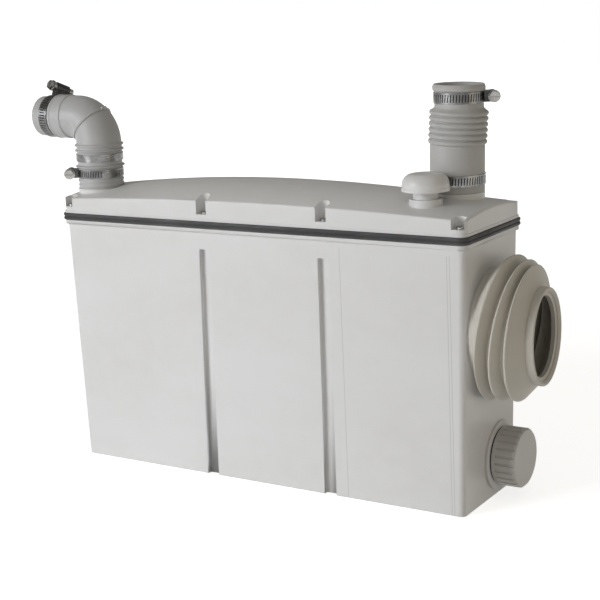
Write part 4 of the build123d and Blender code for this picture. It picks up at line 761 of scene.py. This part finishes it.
def band_mesh(bore, width, thickness, slotted):
    """A ring of strip about Z, slotted over spans of its angle in degrees."""
    mesh = bmesh.new()
    pitch_count = round(math.tau * bore / slot_pitch)
    half, hole = width / 2, width * slot_height

    def corner(place, height):
        angle = place * math.tau / pitch_count
        return mesh.verts.new((bore * math.cos(angle), bore * math.sin(angle), height))

    for place in range(pitch_count):
        low, low_far = corner(place, -half), corner(place + 1, -half)
        high, high_far = corner(place, half), corner(place + 1, half)
        angle = (place + 0.5) * 360 / pitch_count
        if not any(start <= angle <= end for start, end in slotted):
            mesh.faces.new((low, low_far, high_far, high))
            continue
        foot, head = place - slot_slant, place + slot_slant
        slot = [corner(foot + slot_from, -hole), corner(foot + slot_to, -hole)]
        slot += [corner(head + slot_to, hole), corner(head + slot_from, hole)]
        join_rings(mesh, (low, low_far, high_far, high), slot)
    bmesh.ops.remove_doubles(mesh, verts=mesh.verts, dist=weld)
    skin = bmesh.ops.extrude_face_region(mesh, geom=mesh.faces[:])
    outer = [part for part in skin["geom"] if isinstance(part, bmesh.types.BMVert)]
    growth = (bore + thickness) / bore
    bmesh.ops.scale(mesh, vec=(growth, growth, 1), verts=outer)
    return mesh


print("band helper ready")

# %% [markdown]
# ## The five bands
# Each band rides on the casing or on the elbow and takes its size from the CAD's plain
# ring. The spans say where slots are punched: two bands have them all round, the others
# show some plain strip. Under each band a dark lining of painted shade, with a little
# grime, darkens the slots so they read as holes.

# %% Bands
# The lining reaches this far to each side of the strip's bore, in mm, and is as high as
# twice this share of the band's width.
strip = mm(0.8)
lining_below, lining_above, lining_share = 0.04, 0.1, 0.4
upright, lying, all_round = (0, 0, 1), (1, 0, 0), ((0, 360),)
bands = {
    "inlet_base_clip_band": ("casing", upright, all_round),
    "inlet_top_clip_band": ("casing", upright, all_round),
    "elbow_base_clip_band": ("elbow", upright, ((0, 310), (345, 360))),
    "elbow_middle_clip_band": ("elbow", upright, ((60, 170),)),
    "elbow_mouth_clip_band": ("elbow", lying, ((120, 360),)),
}
for node, (body, axis, slotted) in bands.items():
    hoop = box_of(node)
    size = hoop.high - hoop.low
    width = size.z if axis == upright else size.x
    bore = size.y / 2 - strip
    mesh = band_mesh(bore, width, strip, slotted)
    stand(mesh, axis, hoop.middle)
    finish_piece(node + "_strip", mesh, body, node, stainless, 30)
    # Each lining is a dark ring of painted shade, with a little grime, seen through the
    # slots.
    inner, outer = bore * 1000 - lining_below, bore * 1000 + lining_above
    half = width * lining_share * 1000
    lining = turned([(inner, -half), (outer, -half), (outer, half), (inner, half)])
    stand(lining, axis, hoop.middle)
    finish_piece(node + "_grime", lining, body, None, slot_shade_and_grime)

# %% [markdown]
# ## Rivet on the plain band
# The middle band of the elbow shows its plain back, where a round rivet joins the two
# layers of strip. It is a low dome, turned from a short profile and laid on the band.

# %% Rivet
dome = [(0.0, 0.0), (2.3, 0.0), (2.3, 0.3), (1.9, 0.75), (1.1, 1.0), (0.0, 1.05)]
rivet_heading = Vector((-0.995, -0.1, 0)).normalized()
hoop = box_of("elbow_middle_clip_band")
mesh = turned(dome, 32, False)
band_radius = hoop.high.y - hoop.middle.y
stand(mesh, rivet_heading, hoop.middle + rivet_heading * band_radius)
finish_piece("band_rivet", mesh, "elbow", None, zinc_steel)

# %% [markdown]
# ## Lid gasket
# The gasket is an extruded rubber with two beads, and between them a shallow groove that
# catches the light. The same section is swept round the rim: each point of the profile
# becomes one rounded rectangle, and neighbouring rectangles are joined by faces.

# %% Gasket
# Points are an offset outwards and a height, in mm.
rim = box_of("lid_gasket")
bead_reach, corner_radius, corner_steps = 1.8, 9.0, 10
rim_tall = (rim.high.z - rim.low.z) * 1000
rim_half = Vector((rim.high.x, rim.high.y)) - Vector((mm(bead_reach), mm(bead_reach)))
lower_half = [(-6.0, 0.0), (0.6, 0.0), (1.5, 0.5), (bead_reach, 1.4), (bead_reach, 2.6)]
lower_half += [(1.2, 3.4), (0.9, 4.0)]
upper_half = [(offset, rim_tall - height) for offset, height in lower_half[-2::-1]]
mesh = bmesh.new()
rings = []
for offset, height in lower_half + upper_half:
    ring = []
    for quarter, (side_x, side_y) in enumerate(((1, 1), (-1, 1), (-1, -1), (1, -1))):
        for step in range(corner_steps + 1):
            angle = (quarter + step / corner_steps) * math.pi / 2
            reach = mm(corner_radius + offset)
            ring.append(mesh.verts.new((
                side_x * (rim_half.x - mm(corner_radius)) + reach * math.cos(angle),
                side_y * (rim_half.y - mm(corner_radius)) + reach * math.sin(angle),
                rim.low.z + mm(height),
            )))
    rings.append(ring)
for near, far in zip(rings, rings[1:] + rings[:1]):
    join_rings(mesh, near, far)
finish_piece("gasket_beads", mesh, "casing", "lid_gasket", gasket_rubber)

# %% [markdown]
# ## Seals and sleeves
# Seals and sleeves are soft, so each is drawn again with the rounded lips that rubber
# pieces have. They are turned about an axis too, which is how their moulds are cut. The
# shaft seal has two lips that hug the shaft, and a sleeve has a raised bead at each end.

# %% Seals and sleeves
seal = box_of("drain_seal")
thick = (seal.high.x - seal.low.x) * 1000
seal_profile = [(26.4, 0.3), (26.8, 0.0), (29.6, 0.0), (30.0, 0.4), (30.0, thick - 0.4)]
seal_profile += [(29.6, thick), (26.8, thick), (26.4, thick - 0.3)]
mesh = turned(seal_profile, 72)
stand(mesh, lying, Vector((seal.low.x, seal.middle.y, seal.middle.z)))
finish_piece("drain_ring", mesh, "drain_seal", "drain_seal", dark_rubber)

seal = box_of("shaft_seal")
lips = [(4.1, 0.4), (4.6, 0.0), (6.9, 0.0), (6.9, 6.0)]
lips += [(5.2, 6.0), (4.1, 4.4), (4.6, 3.2), (4.6, 1.6)]
mesh = turned(lips, 48)
stand(mesh, upright, Vector((seal.middle.x, seal.middle.y, seal.low.z)))
finish_piece("shaft_lips", mesh, "casing", "shaft_seal", dark_rubber)

pipe = box_of("discharge_pipe")
pipe_radius = pipe.middle.y - pipe.low.y
pump_end = (pipe.high.x, pipe.middle.y, pipe.low.z + pipe_radius)
lid_end = (pipe.low.x + pipe_radius, pipe.middle.y, pipe.high.z)
sleeves = (("pump_sleeve", lying, pump_end, 14.9), ("lid_sleeve", upright, lid_end, 15.4))
for name, axis, centre, half in sleeves:
    wall = [(13.25, -half), (15.6, -half), (16.3, 0.8 - half)]
    wall += [(16.3, 3.0 - half), (15.6, 3.8 - half)]
    mesh = turned(wall + [(radius, -height) for radius, height in reversed(wall)], 64)
    stand(mesh, axis, Vector(centre))
    finish_piece(name, mesh, "casing", "pipe_sleeves", dark_rubber)

# %% [markdown]
# ## Diaphragm of the pressure switch
# The diaphragm is a thin rubber disc with a thicker middle and rim. The web between them
# is what gives when the pressure rises. The profile runs from the axis outwards and back,
# so the spin closes it in the middle and needs no closing line.

# %% Diaphragm
disc = box_of("pressure_diaphragm")
top = [(0.0, 1.4), (12.0, 1.4), (14.0, 1.0), (18.0, 0.75), (24.0, 0.75)]
top += [(27.0, 1.4), (31.0, 1.4)]
under = [(31.0, 0.1), (26.5, 0.1), (23.0, 0.05), (18.0, 0.05), (13.0, 0.1), (0.0, 0.1)]
mesh = turned(top + under, 72, False)
stand(mesh, upright, Vector((disc.middle.x, disc.middle.y, disc.low.z)))
finish_piece(
    "diaphragm_roll", mesh, "casing", "pressure_diaphragm", dark_rubber
)

# %% [markdown]
# ## Flap of the non-return valve
# The flap is a rubber disc that hangs from a barrel round the valve's pin. Disc and
# barrel are turned, and a small block bridges them. The three are merged into one piece,
# because they swing together.

# %% Flap
flap = box_of("valve_flap")
disc_radius, barrel_radius, bridge_size = 12.9, 2.1, (8.6, 5.0, 1.6)
bridge_reach, bridge_height = 3.9, 1.0
pin_y = flap.low.y + mm(barrel_radius)
disc = [(0.0, 2.2), (9.0, 2.4), (12.2, 2.3), (disc_radius, 1.7), (disc_radius, 0.4)]
mesh = turned(disc + [(12.4, 0.0), (0.0, 0.0)], 56, False)
stand(mesh, upright, Vector((flap.middle.x, flap.high.y - mm(disc_radius), flap.low.z)))
barrel_foot = [(1.1, -4.5), (1.8, -4.6), (barrel_radius, -4.3)]
barrel_head = [(radius, -height) for radius, height in reversed(barrel_foot)]
barrel = turned(barrel_foot + barrel_head, 32)
stand(barrel, lying, Vector((flap.middle.x, pin_y, flap.low.z + mm(barrel_radius))))
merge(mesh, barrel)
bridge = bmesh.new()
bmesh.ops.create_cube(bridge, size=mm(1))
bmesh.ops.scale(bridge, vec=bridge_size, verts=bridge.verts)
bridge_place = (flap.middle.x, pin_y + mm(bridge_reach), flap.low.z + mm(bridge_height))
bmesh.ops.translate(bridge, verts=bridge.verts, vec=bridge_place)
merge(mesh, bridge)
finish_piece("flap_disc", mesh, "valve_flap", "valve_flap", dark_rubber)

# %% [markdown]
# ## Filter of the vent
# Under the vent's cap lies a disc of open foam that holds back smells. It is cut from a
# sheet, so its edge is nearly square, with a small soft step at the top and the foot.

# %% Filter
foam_box = box_of("vent_filter")
foam_profile = [(0.0, 0.0), (12.0, 0.1), (12.45, 0.6)]
foam_profile += [(12.45, 3.4), (12.0, 3.9), (0.0, 4.0)]
mesh = turned(foam_profile, 56, False)
stand(mesh, upright, Vector((foam_box.middle.x, foam_box.middle.y, foam_box.low.z)))
finish_piece("filter_disc", mesh, "vent_cap", "vent_filter", foam)

# %% [markdown]
# ## Floor
# The photo has a plain white ground. A floor lit by lamps alone would come out grey, so
# it also glows where the camera or a glossy face sees it, and stays ordinary paper for
# the soft light on the pump. The glow is weaker near the pump, so the shadow still shows
# there, and it grows with distance.

# %% Floor
floor_half, paper_grey = 6, 0.86
glow_near, glow_far, glow_span = 0.72, 1.05, (0.6, 2.6)
mesh = bmesh.new()
bmesh.ops.create_grid(mesh, x_segments=1, y_segments=1, size=floor_half)
floor = object_of("floor", mesh)
paper, tree, shader = new_finish("paper")
shader.inputs["Base Color"].default_value = (paper_grey, paper_grey, paper_grey, 1)
shader.inputs["Roughness"].default_value = 0.9
ray = add_node(tree, "LightPath")
seen = add_math(tree, "MAXIMUM", ray["Is Camera Ray"], ray["Is Glossy Ray"])
place = add_node(tree, "TexCoord")["Object"]
away = add_node(tree, "VectorMath", {0: place}, operation="LENGTH")["Value"]
rising = add_range(tree, away, glow_near, glow_far, glow_span)
glow = add_node(tree, "Emission", {"Color": (1, 1, 1, 1), "Strength": rising})["Emission"]
dark = add_node(tree, "Emission", {"Strength": 0.0})["Emission"]
pick = add_node(tree, "MixShader", {"Fac": seen, 1: dark, 2: glow})["Shader"]
both = add_node(tree, "AddShader", {0: shader.outputs["BSDF"], 1: pick})["Shader"]
feed(tree, tree.nodes["Material Output"].inputs["Surface"], both)
floor.data.materials.append(paper)
floor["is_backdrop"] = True
print("floor ready")

# %% [markdown]
# ## Lamps and world
# The light is soft and comes from the front left, so the right end falls into a warm
# shade. A large lamp does most of the work, a small one lifts the foot of the front wall,
# and a weak warm one fills the right. The world lifts what is left, and only the camera
# sees it white.


# %% Lamps and world
def soft_lamp(name, place, target, size, power, colour):
    """A square area lamp at a place, facing a target, with a power in watts."""
    data = bpy.data.lights.new(name, "AREA")
    data.size = size
    data.energy = power
    data.color = colour
    lamp = bpy.data.objects.new(name, data)
    lamp.location = place
    heading = Vector(target) - Vector(place)
    lamp.rotation_euler = heading.to_track_quat("-Z", "Y").to_euler()
    bpy.context.collection.objects.link(lamp)
    return data


pump_middle, wall_foot = (0, 0, 0.2), (-0.05, 0, -0.06)
daylight, low_daylight = (0.945, 0.965, 1.0), (0.93, 0.96, 1.0)
lamplight = (1.0, 0.84, 0.5)
soft_lamp("key_left", (-1.7, -2.7, 1.1), pump_middle, 1.3, 48, daylight)
low_front = soft_lamp("low_front", (-1.2, -2.6, 0.3), wall_foot, 0.5, 0.22, low_daylight)
low_front.spread = math.radians(24)
soft_lamp("fill_right", (2.6, -0.2, 0.2), pump_middle, 1.2, 4.0, lamplight)

world = bpy.data.worlds.new("studio")
bpy.context.scene.world = world
world.use_nodes = True
sky = world.node_tree
ambient = sky.nodes["Background"]
ambient.inputs["Color"].default_value = (1, 0.965, 0.90, 1)
ambient.inputs["Strength"].default_value = 0.285
white = add_node(sky, "Background", {"Color": (1, 1, 1, 1), "Strength": 1.0})
seen = add_node(sky, "LightPath")["Is Camera Ray"]
shades = {1: ambient.outputs["Background"], 2: white["Background"]}
chosen = add_node(sky, "MixShader", {"Fac": seen, **shades})["Shader"]
feed(sky, sky.nodes["World Output"].inputs["Surface"], chosen)
bpy.context.scene.view_settings.view_transform = "Standard"
print("lamps ready")

# %% [markdown]
# The box round every piece that renders, the floor aside, is printed at the end. The new
# pieces have to stay close to the CAD's box.

low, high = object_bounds()
print("visual box", [round(v, 4) for v in low], [round(v, 4) for v in high])
